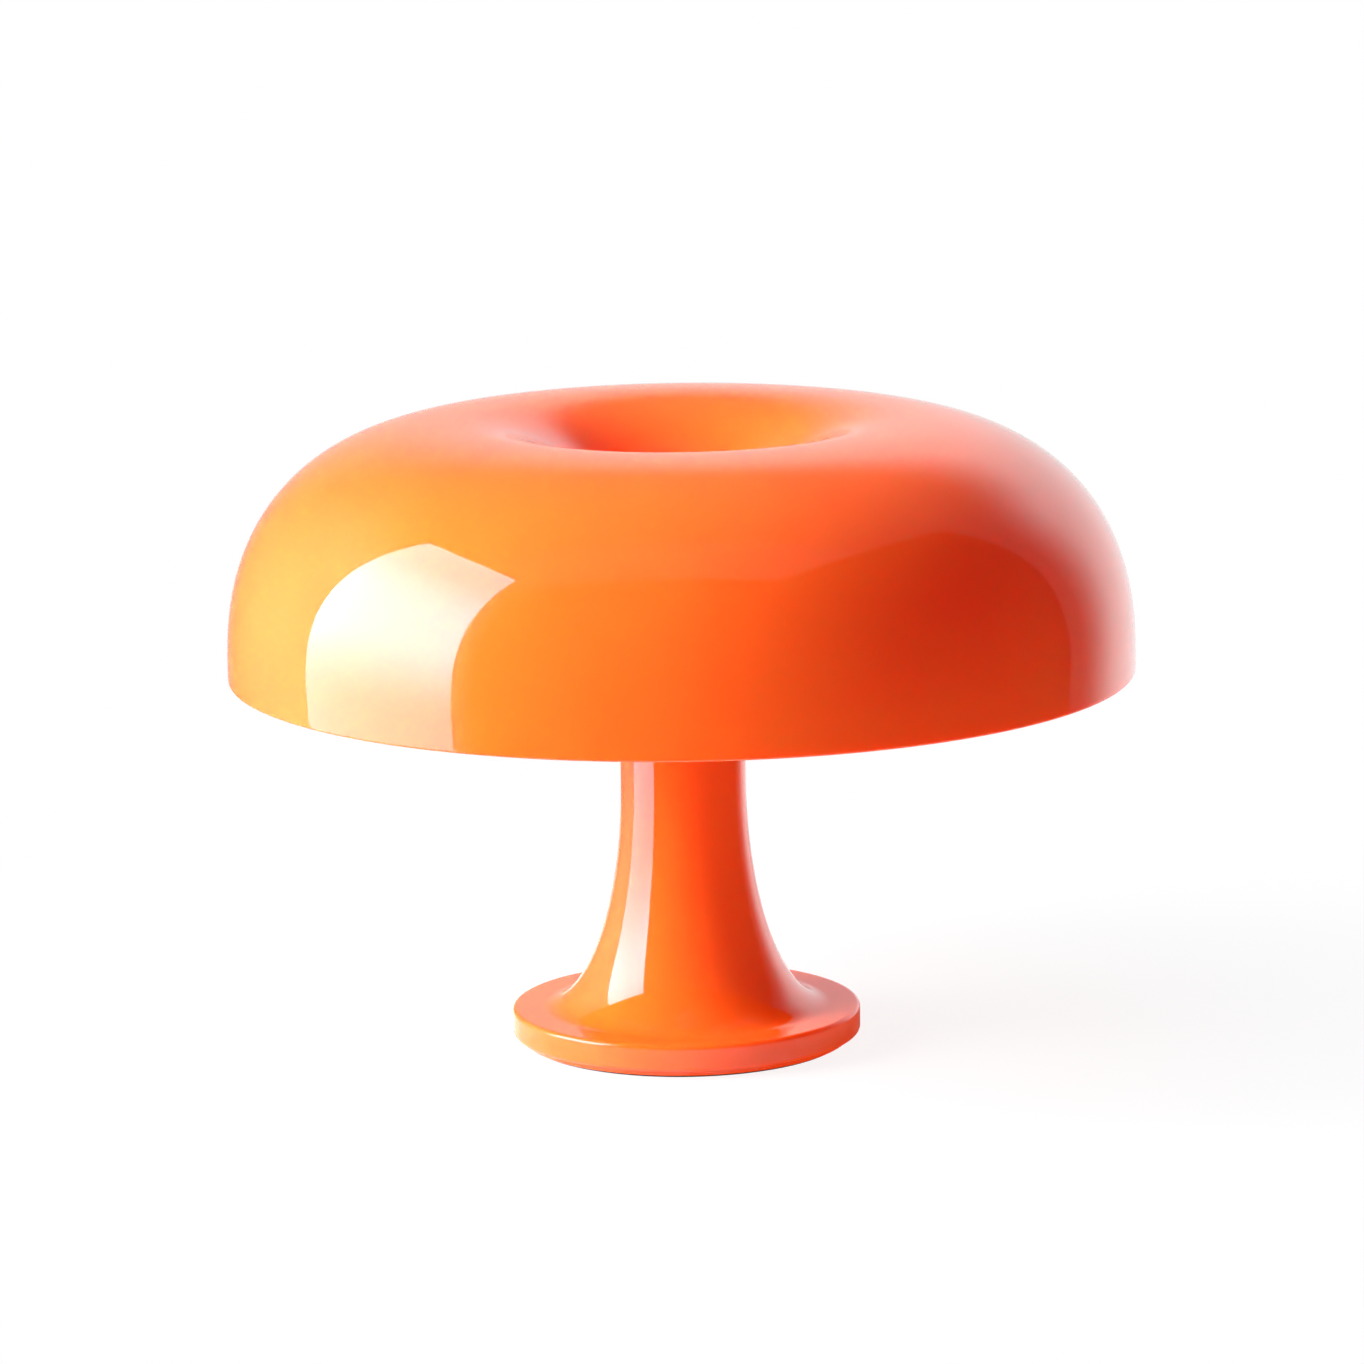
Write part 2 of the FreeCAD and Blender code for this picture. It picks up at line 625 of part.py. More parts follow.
def make_ballast():
    """Cast ballast under the trumpet: an outer ring, a coned wall and a clamped top plate."""
    inset = STEM_WALL + BALLAST_GAP
    half_height = FLARE_TOP - (BASE_HEIGHT - inset)
    share = math.acos((FLARE_TOP - BALLAST_TOP) / half_height) / QUARTER
    slope = flare_curve(inset, share)
    slope_ends = sorted(ends(slope))
    shoulder, foot = slope_ends
    step = (FLARE_FOOT_RADIUS + BALLAST_GAP, foot[1])
    hole = TUBE_RADIUS + TUBE_CLEARANCE
    plate_underside = BALLAST_TOP - BALLAST_THICKNESS
    inner_shoulder = shoulder[0] - BALLAST_THICKNESS / 2
    inner_foot = FLARE_FOOT_RADIUS - BALLAST_FOOT_WIDTH
    edges = [
        slope,
        *lines(foot, step, (step[0], BASE_CEILING), (BALLAST_RADIUS, BASE_CEILING),
               (BALLAST_RADIUS, BALLAST_FOOT), (inner_foot, BALLAST_FOOT),
               (inner_shoulder, plate_underside), (hole, plate_underside), (hole, BALLAST_TOP), shoulder),
    ]
    ballast = turned(edges)
    for x, y in cover_screw_spots():
        ballast = ballast.cut(rod(BOSS_RADIUS + BALLAST_GAP, 0, BALLAST_TOP, x, y))
    half = INLET_RADIUS + INLET_FLANGE + BALLAST_GAP
    lead_way = block((-half, 0, BALLAST_FOOT), (half, BASE_RADIUS, BASE_HEIGHT))
    return ballast.cut(lead_way)


def make_inlet_bush():
    """Grommet in the rim's slot, with a flange each side of the wall, for the mains lead."""
    outer_face = BASE_RADIUS + INLET_PLAY
    inner_face = RIM_INSIDE_RADIUS - INLET_PLAY - INLET_FLANGE_THICKNESS
    flange = INLET_RADIUS + INLET_FLANGE
    bush = outline((INLET_BORE_RADIUS, inner_face), (flange, inner_face),
                   (flange, inner_face + INLET_FLANGE_THICKNESS),
                   (INLET_RADIUS, inner_face + INLET_FLANGE_THICKNESS), (INLET_RADIUS, outer_face),
                   (flange, outer_face), (flange, outer_face + INLET_FLANGE_THICKNESS),
                   (INLET_BORE_RADIUS, outer_face + INLET_FLANGE_THICKNESS))
    bush.rotate(ORIGIN, FreeCAD.Vector(1, 0, 0), -90)
    bush.translate(FreeCAD.Vector(0, 0, INLET_HEIGHT))
    return bush


# Centre tube

def make_centre_tube():
    """Threaded steel tube that clamps hub, stem and ballast, and carries the wires."""
    return ring(TUBE_BORE_RADIUS, TUBE_RADIUS, TUBE_BOTTOM, TUBE_TOP)


def make_nut(underside):
    """Hexagon nut on the centre tube."""
    corner = NUT_ACROSS_FLATS / 2 / math.cos(math.pi / NUT_SIDES)
    turns = [FULL_TURN * i / NUT_SIDES for i in range(NUT_SIDES)]
    corners = [FreeCAD.Vector(*polar(corner, turn), underside) for turn in turns]
    prism = Part.Face(Part.makePolygon([*corners, corners[0]])).extrude(UP * NUT_HEIGHT)
    return prism.cut(rod(TUBE_RADIUS + THREAD_PLAY, underside, underside + NUT_HEIGHT))


def make_washer(underside):
    """Plain washer on the centre tube."""
    return ring(TUBE_RADIUS + TUBE_CLEARANCE, WASHER_RADIUS, underside, underside + WASHER_THICKNESS)


# Lampholder hub

def hub_prism(bottom, top):
    """Round body with a flat for each lampholder."""
    body = rod(HUB_RADIUS, bottom, top)
    for angle in holder_angles():
        waste = block((HUB_HALF_FLAT, -HUB_RADIUS, bottom), (2 * HUB_RADIUS, HUB_RADIUS, top))
        body = body.cut(around(waste, angle))
    return body


def holder_angles():
    """Directions of the lampholders round the lamp's axis."""
    return [FULL_TURN * i / HOLDER_COUNT for i in range(HOLDER_COUNT)]


def hub_screw_spots():
    """X and Y of the hub cover's screws, midway between the lampholders."""
    half_step = FULL_TURN / HOLDER_COUNT / 2
    return [polar(HUB_SCREW_CIRCLE, angle + half_step) for angle in holder_angles()]


def make_holder_hub():
    """Open box on top of the stem that carries the lampholders and holds the junction."""
    hub = hub_prism(HUB_UNDERSIDE, HUB_COVER_UNDERSIDE)
    hub = hub.cut(rod(HUB_BORE_RADIUS, HUB_UNDERSIDE + HUB_FLOOR, HUB_COVER_UNDERSIDE))
    hub = hub.cut(rod(TUBE_RADIUS + TUBE_CLEARANCE, HUB_UNDERSIDE, HUB_UNDERSIDE + HUB_FLOOR))
    for angle in holder_angles():
        hub = hub.cut(radial(rod(NIPPLE_RADIUS + NIPPLE_PLAY, 0, HUB_RADIUS), angle))
    screw_end = HUB_COVER_UNDERSIDE - HUB_SCREW_GRIP
    for x, y in hub_screw_spots():
        hub = hub.cut(rod(HUB_SCREW_RADIUS, screw_end, HUB_COVER_UNDERSIDE, x, y))
    return hub


def make_hub_cover():
    """Lid of the hub, on which the shade's floor is seated, with a boss for the insert."""
    cover = hub_prism(HUB_COVER_UNDERSIDE, HUB_TOP)
    cover = fused([cover, rod(INSERT_RADIUS + INSERT_BOSS_WALL, INSERT_END, HUB_COVER_UNDERSIDE)])
    cover = cover.cut(rod(INSERT_RADIUS, INSERT_END, HUB_TOP))
    seat = HUB_TOP - HUB_SCREW_HEAD_HEIGHT
    for x, y in hub_screw_spots():
        cover = cover.cut(rod(HUB_SCREW_RADIUS + SCREW_CLEARANCE, HUB_COVER_UNDERSIDE, HUB_TOP, x, y))
        cover = cover.cut(rod(HUB_SINK_RADIUS, seat, HUB_TOP, x, y))
    return cover


def make_hub_screws():
    """Screws of the hub cover, sunk flush."""
    screws = []
    seat = HUB_TOP - HUB_SCREW_HEAD_HEIGHT
    for x, y in hub_screw_spots():
        head = rod(HUB_SCREW_HEAD_RADIUS, seat, HUB_TOP, x, y)
        head = head.cut(cross_recess(x, y, HUB_TOP - RECESS_DEPTH))
        shank = rod(HUB_SCREW_RADIUS, HUB_COVER_UNDERSIDE - HUB_SCREW_GRIP, seat, x, y)
        screws.append(fused([head, shank]))
    return Part.makeCompound(screws)


def make_seat_ring():
    """Soft ring on the hub cover that the shade's floor rests on."""
    return ring(SEAT_RING_RADIUS - SEAT_RING_WIDTH, SEAT_RING_RADIUS, HUB_TOP, FLOOR_UNDERSIDE)


def make_thread_insert():
    """Brass insert in the hub cover that takes the knob's stud."""
    return ring(STUD_RADIUS + STUD_FIT, INSERT_RADIUS, INSERT_END, HUB_TOP)


def make_junction():
    """Insulating junction block, pushed over the tube's end and resting on its nut."""
    body = rod(JUNCTION_RADIUS, UPPER_NUT_TOP, JUNCTION_TOP)
    body = body.cut(rod(TUBE_RADIUS + TUBE_CLEARANCE, UPPER_NUT_TOP, TUBE_TOP))
    return body.cut(rod(TUBE_BORE_RADIUS, TUBE_TOP, TUBE_TOP + JUNCTION_WIRE_WELL))


# Lampholders

def thread_edges(extra):
    """Rolled screw thread as round-backed rings, moved out by extra."""
    root = CAP_ROOT_RADIUS + extra
    crest = CAP_CREST_RADIUS + extra
    edges = []
    for i in range(CAP_TURNS):
        start = THREAD_START + i * CAP_PITCH
        middle = flat((crest, start + CAP_PITCH / 2))
        edges.append(Part.Arc(flat((root, start)), middle, flat((root, start + CAP_PITCH))).toShape())
    return edges


def lead_holes(start, end, radius):
    """Two rods side by side along a lampholder, for its leads or their holes."""
    return [rod(radius, start, end, 0, side * LEAD_HALF_SPACING) for side in (-1, 1)]


def make_lampholder(angle):
    """Moulded lampholder body, open at its mouth, with a threaded neck at the hub."""
    taper_end = HOLDER_START + HOLDER_BACK_WALL + HOLDER_NECK_LENGTH
    chamfer = HOLDER_MOUTH - HOLDER_MOUTH_CHAMFER
    nipple_hole = NIPPLE_RADIUS + NIPPLE_PLAY
    nipple_end = SOCKET_FLOOR - NIPPLE_END_WALL
    skirt_bore = CAP_SKIRT_RADIUS + CAP_PLAY
    body = outline((nipple_hole, HOLDER_START), (HOLDER_NECK_RADIUS, HOLDER_START),
                   (HOLDER_NECK_RADIUS, HOLDER_START + HOLDER_NECK_LENGTH), (HOLDER_RADIUS, taper_end),
                   (HOLDER_RADIUS, chamfer), (HOLDER_RADIUS - HOLDER_MOUTH_CHAMFER, HOLDER_MOUTH),
                   (skirt_bore, HOLDER_MOUTH), (skirt_bore, THREAD_END), (SOCKET_RADIUS, THREAD_END),
                   (SOCKET_RADIUS, SOCKET_FLOOR), (0, SOCKET_FLOOR), (0, nipple_end),
                   (nipple_hole, nipple_end))
    for hole in lead_holes(nipple_end, SOCKET_FLOOR, LEAD_RADIUS + LEAD_PLAY):
        body = body.cut(hole)
    return radial(body, angle)


def make_screw_shell(angle):
    """Thin brass shell of the lampholder, rolled to the bulb's thread."""
    inner = thread_edges(CAP_PLAY)
    outer = thread_edges(SHELL_BORE_PLAY)
    low_in, high_in = CAP_ROOT_RADIUS + CAP_PLAY, CAP_ROOT_RADIUS + SHELL_BORE_PLAY
    edges = [*inner, *outer, line((low_in, THREAD_START), (high_in, THREAD_START)),
             line((low_in, THREAD_END), (high_in, THREAD_END))]
    return radial(turned(edges), angle)


def make_centre_contacts():
    """Centre contacts on the floors of the lampholders."""
    contact = rod(CONTACT_RADIUS, SOCKET_FLOOR, CONTACT_END)
    return Part.makeCompound([radial(contact, angle) for angle in holder_angles()])


def make_holder_nipples():
    """Threaded nipples that hold the lampholders to the hub."""
    nipple = ring(NIPPLE_BORE_RADIUS, NIPPLE_RADIUS, HUB_BORE_RADIUS - NIPPLE_INSIDE,
                  SOCKET_FLOOR - NIPPLE_END_WALL)
    return Part.makeCompound([radial(nipple, angle) for angle in holder_angles()])


def make_holder_leads():
    """Pairs of leads from the junction through the nipples to the lampholders."""
    leads = []
    for angle in holder_angles():
        leads += [radial(lead, angle) for lead in lead_holes(JUNCTION_RADIUS, SOCKET_FLOOR, LEAD_RADIUS)]
    return Part.makeCompound(leads)


# Bulbs

def make_bulb_cap(angle):
    """Screw cap of a bulb: a nose, the rolled thread and a skirt."""
    bore = CAP_ROOT_RADIUS - CAP_WALL
    edges = [
        *thread_edges(0),
        *lines((CAP_ROOT_RADIUS, THREAD_END), (CAP_ROOT_RADIUS, SKIRT_START),
               (CAP_SKIRT_RADIUS, SKIRT_START), (CAP_SKIRT_RADIUS, CAP_MOUTH),
               (CAP_SKIRT_RADIUS - CAP_WALL, CAP_MOUTH), (bore, SKIRT_START), (bore, THREAD_START),
               (TIP_BASE_RADIUS, CAP_NOSE + CAP_WALL), (TIP_BASE_RADIUS, CAP_NOSE),
               (CAP_ROOT_RADIUS, THREAD_START)),
    ]
    return radial(turned(edges), angle)


def make_bulb_contact(angle):
    """Glass insulator and solder tip at the end of a bulb's cap."""
    top = CAP_NOSE + CAP_WALL
    contact = outline((0, TIP_END), (TIP_RADIUS, TIP_END), (TIP_RADIUS, TIP_END + TIP_LENGTH / 2),
                      (TIP_BASE_RADIUS, CAP_NOSE), (TIP_BASE_RADIUS, top), (0, top))
    return radial(contact, angle)


def globe_edges(inset):
    """Neck, shoulder and round globe of the bulb's glass, moved in by inset."""
    neck = GLASS_NECK_RADIUS - inset
    start = THREAD_END - GLASS_NECK_DEPTH
    radius = GLOBE_RADIUS - inset
    flare = math.radians(GLASS_FLARE_DEG)
    tangent = (radius * math.cos(flare), GLOBE_CENTRE - radius * math.sin(flare))
    shoulder_radius = GLASS_SHOULDER_RADIUS - inset
    shoulder = (shoulder_radius, tangent[1] - (tangent[0] - shoulder_radius) / math.tan(flare))
    globe = corner_arc((0, GLOBE_CENTRE), radius, -GLASS_FLARE_DEG, 90)
    return [*lines((neck, start), (neck, SKIRT_START), shoulder, tangent), globe]


def make_bulb_glass(angle):
    """Hollow opal globe, open where its neck is cemented into the cap."""
    start = THREAD_END - GLASS_NECK_DEPTH
    closing = [
        line((GLASS_NECK_RADIUS, start), (GLASS_NECK_RADIUS - GLASS_WALL, start)),
        line((0, GLOBE_TOP), (0, GLOBE_TOP - GLASS_WALL)),
    ]
    return radial(turned([*globe_edges(0), *globe_edges(GLASS_WALL), *closing]), angle)


# Wiring in the base

def terminal_centre():
    """Y of the middle of the terminal block."""
    return TERMINAL_START + TERMINAL_DEPTH / 2


def pole_rod(radius, side, end_inset):
    """Rod along a pole of the terminal block."""
    start = FreeCAD.Vector(side * TERMINAL_POLE, TERMINAL_START + end_inset, TERMINAL_POLE_HEIGHT)
    return Part.makeCylinder(radius, TERMINAL_DEPTH - 2 * end_inset, start, FreeCAD.Vector(0, 1, 0))


def terminal_screw_spots():
    """X and Y of the clamping screws of the terminal block."""
    return [(side * TERMINAL_POLE, terminal_centre() + end * TERMINAL_SCREW_SPREAD)
            for side in (-1, 1) for end in (-1, 1)]


def make_terminal_block():
    """Two-pole terminal block on the base cover."""
    top = COVER_TOP + TERMINAL_HEIGHT
    half = TERMINAL_WIDTH / 2
    body = block((-half, TERMINAL_START, COVER_TOP), (half, TERMINAL_START + TERMINAL_DEPTH, top))
    for side in (-1, 1):
        body = body.cut(pole_rod(TERMINAL_INSERT_RADIUS, side, 0))
    for x, y in terminal_screw_spots():
        body = body.cut(rod(TERMINAL_SCREW_RADIUS, TERMINAL_POLE_HEIGHT, top, x, y))
    return body.cut(rod(FIXING_SCREW_RADIUS, COVER_TOP, top, 0, terminal_centre()))


def make_terminal_inserts():
    """Brass tubes of the two poles."""
    inserts = []
    for side in (-1, 1):
        solid = pole_rod(TERMINAL_INSERT_RADIUS, side, TERMINAL_INSERT_END)
        inserts.append(solid.cut(pole_rod(TERMINAL_INSERT_BORE, side, TERMINAL_INSERT_END)))
    return Part.makeCompound(inserts)


def make_terminal_screws():
    """Clamping screws of the poles, slotted on top."""
    low = TERMINAL_POLE_HEIGHT + TERMINAL_INSERT_RADIUS
    high = COVER_TOP + TERMINAL_HEIGHT - TERMINAL_SCREW_SINK
    half = TERMINAL_SLOT_WIDTH / 2
    screws = []
    for x, y in terminal_screw_spots():
        slot = block((x - TERMINAL_SCREW_RADIUS, y - half, high - TERMINAL_SLOT_DEPTH),
                     (x + TERMINAL_SCREW_RADIUS, y + half, high))
        screws.append(rod(TERMINAL_SCREW_RADIUS, low, high, x, y).cut(slot))
    return Part.makeCompound(screws)


def make_terminal_fixing():
    """Screw that holds the terminal block to the base cover."""
    low = COVER_UNDERSIDE + COVER_THICKNESS / 2
    high = COVER_TOP + TERMINAL_HEIGHT - TERMINAL_SCREW_SINK
    return rod(FIXING_SCREW_RADIUS, low, high, 0, terminal_centre())


def make_supply_wire(side):
    """Insulated wire from the terminal block, up the centre tube, to the junction block."""
    x_block = side * TERMINAL_POLE
    x_tube = side * WIRE_HALF_SPACING
    height = TERMINAL_POLE_HEIGHT
    in_block = TERMINAL_START + TERMINAL_INSERT_END + TERMINAL_SCREW_SPREAD
    points = [(x_block, in_block, height), (x_block, TERMINAL_START - WIRE_JOG, height),
              (x_tube, 0, height), (x_tube, 0, TUBE_TOP + JUNCTION_WIRE_WELL)]
    return tube_along(rounded_path(points, [WIRE_SWEEP, WIRE_TURN]), WIRE_RADIUS)


def main():
    """Builds every piece and writes each to its own file."""
    pieces = {
        "shade_dome": make_shade_dome(),
        "shade_funnel": make_shade_funnel(),
        "shade_knob": make_knob(),
        "knob_stud": make_knob_stud(),
        "knob_clip": make_knob_clip(),
        "stem": make_stem(),
        "base_disc": make_base_disc(),
        "base_cover": make_base_cover(),
        "cover_screws": make_cover_screws(),
        "foot_pad": make_foot_pad(),
        "ballast": make_ballast(),
        "mains_inlet_bush": make_inlet_bush(),
        "centre_tube": make_centre_tube(),
        "upper_tube_nut": make_nut(UPPER_NUT_UNDERSIDE),
        "upper_tube_washer": make_washer(UPPER_NUT_UNDERSIDE - WASHER_THICKNESS),
        "lower_tube_nut": make_nut(LOWER_NUT_UNDERSIDE),
        "lower_tube_washer": make_washer(LOWER_WASHER_UNDERSIDE),
        "holder_hub": make_holder_hub(),
        "hub_cover": make_hub_cover(),
        "hub_screws": make_hub_screws(),
        "shade_seat_ring": make_seat_ring(),
        "thread_insert": make_thread_insert(),
        "junction_block": make_junction(),
        "holder_nipples": make_holder_nipples(),
        "holder_leads": make_holder_leads(),
        "centre_contacts": make_centre_contacts(),
        "terminal_block": make_terminal_block(),
        "terminal_inserts": make_terminal_inserts(),
        "terminal_screws": make_terminal_screws(),
        "terminal_fixing": make_terminal_fixing(),
        "live_wire": make_supply_wire(1),
        "neutral_wire": make_supply_wire(-1),
    }
    for number, angle in enumerate(holder_angles(), start=1):
        pieces[f"lampholder_{number}"] = make_lampholder(angle)
        pieces[f"screw_shell_{number}"] = make_screw_shell(angle)
        pieces[f"bulb_glass_{number}"] = make_bulb_glass(angle)
        pieces[f"bulb_cap_{number}"] = make_bulb_cap(angle)
        pieces[f"bulb_contact_{number}"] = make_bulb_contact(angle)
    os.makedirs("parts", exist_ok=True)
    for name, shape in pieces.items():
        solids = shape.Solids
        good = all(solid.isValid() and solid.Volume > 0 for solid in solids)
        print(f"{name}: {len(solids)} solid, valid {good}, {shape.Volume:.0f} mm3")
        shape.exportStep(f"parts/{name}.step")


main()
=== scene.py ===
"""Looks of a mushroom table lamp in glossy orange moulded plastic, in metres, standing on z = 0."""

import math

import bmesh
import bpy
import numpy as np
from mathutils import Matrix


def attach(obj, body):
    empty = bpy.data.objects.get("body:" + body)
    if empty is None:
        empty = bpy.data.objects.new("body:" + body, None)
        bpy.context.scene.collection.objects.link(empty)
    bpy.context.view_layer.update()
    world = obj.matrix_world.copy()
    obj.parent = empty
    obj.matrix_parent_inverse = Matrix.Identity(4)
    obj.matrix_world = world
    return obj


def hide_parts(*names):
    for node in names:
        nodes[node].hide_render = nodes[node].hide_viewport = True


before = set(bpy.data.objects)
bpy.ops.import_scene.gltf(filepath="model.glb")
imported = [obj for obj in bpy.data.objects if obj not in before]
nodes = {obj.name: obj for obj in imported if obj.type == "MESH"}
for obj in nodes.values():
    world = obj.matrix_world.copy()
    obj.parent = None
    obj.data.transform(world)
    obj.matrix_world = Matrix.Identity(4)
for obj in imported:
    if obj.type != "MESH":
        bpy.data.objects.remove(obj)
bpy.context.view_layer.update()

# Foot ring and mains inlet bush.
# Black moulded rubber: the ring is pressed into a groove of the base cover and stops the lamp
# from sliding, and the bush sits in a slot at the back of the rim to guard the mains lead.


def dressed(names, material):
    """Gives the named CAD pieces one material in place of the one they came with."""
    for name in names:
        data = nodes[name].data
        data.materials.clear()
        data.materials.append(material)


def finish_nodes(name):
    """A new material: its node tree, its Principled shader and a reader of Object coordinates."""
    material = bpy.data.materials.new(name)
    material.use_nodes = True
    tree = material.node_tree
    shader = tree.nodes["Principled BSDF"]
    place = tree.nodes.new("ShaderNodeTexCoord").outputs["Object"]
    return material, tree, shader, place


def speckle(tree, place, scale, detail=3.0, stretch=(1, 1, 1)):
    """Noise value of the given scale per metre at each point, drawn out along an axis if asked."""
    mapping = tree.nodes.new("ShaderNodeMapping")
    mapping.inputs["Scale"].default_value = stretch
    tree.links.new(place, mapping.inputs["Vector"])
    noise = tree.nodes.new("ShaderNodeTexNoise")
    noise.inputs["Scale"].default_value = scale
    noise.inputs["Detail"].default_value = detail
    tree.links.new(mapping.outputs["Vector"], noise.inputs["Vector"])
    return noise.outputs["Fac"]


def between(tree, value, low, high, start=0.3, end=0.7, ease="LINEAR"):
    """Number from low to high as value goes from start to end, evenly or with soft ends."""
    span = tree.nodes.new("ShaderNodeMapRange")
    span.interpolation_type = ease
    sockets = ("From Min", "From Max", "To Min", "To Max")
    for socket, number in zip(sockets, (start, end, low, high)):
        span.inputs[socket].default_value = number
    tree.links.new(value, span.inputs["Value"])
    return span.outputs["Result"]


def tinted(tree, value, first, second, start=0.35, end=0.65):
    """Colour that goes from first to second as value goes from start to end."""
    ramp = tree.nodes.new("ShaderNodeValToRGB")
    ramp.color_ramp.elements[0].position = start
    ramp.color_ramp.elements[0].color = (*first, 1)
    ramp.color_ramp.elements[1].position = end
    ramp.color_ramp.elements[1].color = (*second, 1)
    tree.links.new(value, ramp.inputs["Fac"])
    return ramp.outputs["Color"]


def raised(tree, shader, value, depth):
    """Bump of the given depth in metres on the shader's surface."""
    bump = tree.nodes.new("ShaderNodeBump")
    bump.inputs["Strength"].default_value = 1.0
    bump.inputs["Distance"].default_value = depth
    tree.links.new(value, bump.inputs["Height"])
    tree.links.new(bump.outputs["Normal"], shader.inputs["Normal"])


def grained(name, first, second, rough, grain, depth, metal=0.0):
    """Plain finish with a fine grain: two close colours in patches 25 grains wide, a span of
    roughness and a shallow bump."""
    material, tree, shader, place = finish_nodes(name)
    fine = speckle(tree, place, grain, detail=4.0)
    broad = speckle(tree, place, grain / 25, detail=2.0)
    tree.links.new(tinted(tree, broad, first, second), shader.inputs["Base Color"])
    tree.links.new(between(tree, fine, *rough), shader.inputs["Roughness"])
    raised(tree, shader, fine, depth)
    shader.inputs["Metallic"].default_value = metal
    return material


black_rubber = grained("black_rubber", (0.012, 0.012, 0.013), (0.022, 0.021, 0.021),
                       rough=(0.55, 0.8), grain=1800, depth=4e-5)
dressed(["foot_pad", "mains_inlet_bush"], black_rubber)

# Base cover.
# A shallow moulded tray of the same orange plastic that closes the base from below, set in from
# the rim, so that it shows as a narrow shaded foot. Three screws hold it up to the stem.

MM = 0.001


def arc(centre, radius, start, end, count):
    """Points on a circle in the radius and height plane, between two angles in degrees."""
    turn = np.radians(np.linspace(start, end, count))[:, None]
    return np.array(centre) + radius * np.hstack([np.cos(turn), np.sin(turn)])


def run(*points, count=6):
    """Evenly spaced points along straight lines through the given corners."""
    corners = np.array(points, float)
    share = np.linspace(0, 1, count)[:, None]
    legs = [a + (b - a) * share for a, b in zip(corners, corners[1:])]
    return np.vstack(legs)


def skinned(name, grid, rows):
    """Mesh over a grid of points whose columns run once round: each listed row is joined to the
    next by quads, and the last column to the first."""
    count, steps = grid.shape[:2]
    i, j = np.meshgrid(rows, np.arange(steps), indexing="ij")
    after, beside = (i + 1) % count, (j + 1) % steps
    quads = np.stack([i * steps + j, i * steps + beside,
                      after * steps + beside, after * steps + j], -1)
    mesh = bpy.data.meshes.new(name)
    mesh.from_pydata(grid.reshape(-1, 3), [], quads.reshape(-1, 4).tolist())
    return settled(mesh)


def lathe(name, outline, steps=256):
    """Solid of revolution: each (radius, height) point of a closed outline in millimetres is
    carried round Z in even steps, x = r cos(turn), y = r sin(turn). Stretches along the axis get
    no faces."""
    keep = np.linalg.norm(outline - np.roll(outline, 1, 0), axis=1) > 1e-6
    points = outline[keep] * MM
    turn = np.linspace(0, 2 * np.pi, steps, endpoint=False)
    radius, height = points[:, :1], points[:, 1:]
    grid = np.stack([radius * np.cos(turn), radius * np.sin(turn), height + 0 * turn], -1)
    off_axis = (radius + np.roll(radius, -1, 0))[:, 0] > 1e-9
    return skinned(name, grid, np.flatnonzero(off_axis))


def settled(mesh, crease=35):
    """Closes the poles, turns the faces outwards and shades smoothly, with edges past crease
    degrees sharp."""
    work = bmesh.new()
    work.from_mesh(mesh)
    bmesh.ops.remove_doubles(work, verts=work.verts, dist=1e-7)
    bmesh.ops.recalc_face_normals(work, faces=work.faces)
    work.to_mesh(mesh)
    work.free()
    mesh.polygons.foreach_set("use_smooth", np.ones(len(mesh.polygons), bool))
    mesh.set_sharp_from_angle(angle=math.radians(crease))
    mesh.update()
    return mesh


def placed(name, mesh, material, body, slot, *stands_for):
    """A piece of the object at the origin, with its material, its body and the CAD nodes it
    stands for."""
    mesh.materials.append(material)
    piece = bpy.data.objects.new(name, mesh)
    bpy.context.scene.collection.objects.link(piece)
    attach(piece, body)
    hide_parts(*stands_for)
    return piece


def orange_shell(name, red, depth, spread):
    """Glossy orange plastic that gives back a share of red light and lets some through: red goes
    depth metres into the wall, green and blue by the shares in spread. A faint flow of tint, an
    uneven polish and a ripple that only reflections show keep it from looking drawn."""
    material, tree, shader, place = finish_nodes(name)
    flow = speckle(tree, place, 14, detail=2.0, stretch=(1, 1, 0.5))
    deep, pale = (red, 0.118, 0.011), (red + 0.005, 0.134, 0.013)
    tree.links.new(tinted(tree, flow, deep, pale), shader.inputs["Base Color"])
    polish = speckle(tree, place, 160, detail=5.0)
    tree.links.new(between(tree, polish, 0.02, 0.055), shader.inputs["Roughness"])
    ripple, ripple_depth = speckle(tree, place, 45, detail=1.0), 2.5e-5
    raised(tree, shader, ripple, ripple_depth)
    shader.inputs["IOR"].default_value = 1.54
    shader.inputs["Subsurface Weight"].default_value = 0.95
    shader.inputs["Subsurface Radius"].default_value = (1.0, *spread)
    shader.inputs["Subsurface Scale"].default_value = depth
    return material


def laid_out(mesh, direction, height):
    """Swings a piece turned about Z so that it lies level at a height, out along a direction in
    degrees from +X."""
    lifted = Matrix.Translation((0, 0, height * MM))
    swing = lifted @ Matrix.Rotation(math.radians(direction), 4, "Z")
    mesh.transform(swing @ Matrix.Rotation(math.pi / 2, 4, "Y"))
    return mesh


def repeated(name, outline, circle, angles):
    """Copies of a small turned piece, standing at angles in degrees on a circle about the axis."""
    copies = []
    for angle in np.radians(angles):
        copy = lathe(name, outline, steps=48)
        spot = (circle * math.cos(angle) * MM, circle * math.sin(angle) * MM, 0)
        copy.transform(Matrix.Translation(spot))
        copies.append(copy)
    return copies


def worked(mesh, operation, tools):
    """A closed mesh with the bodies of the tools joined to it or taken away from it."""
    pieces = [bpy.data.objects.new(part.name, part) for part in (mesh, *tools)]
    for piece in pieces:
        bpy.context.scene.collection.objects.link(piece)
    for tool in pieces[1:]:
        step = pieces[0].modifiers.new(tool.name, "BOOLEAN")
        step.operation = operation
        step.solver = "EXACT"
        step.object = tool
    shaped = pieces[0].evaluated_get(bpy.context.evaluated_depsgraph_get())
    result = bpy.data.meshes.new_from_object(shaped)
    for piece in pieces:
        bpy.data.objects.remove(piece)
    return settled(result)


inlet_height, flange_room, flange_near, flange_far = 6.6, 4.6, 57.3, 59.2


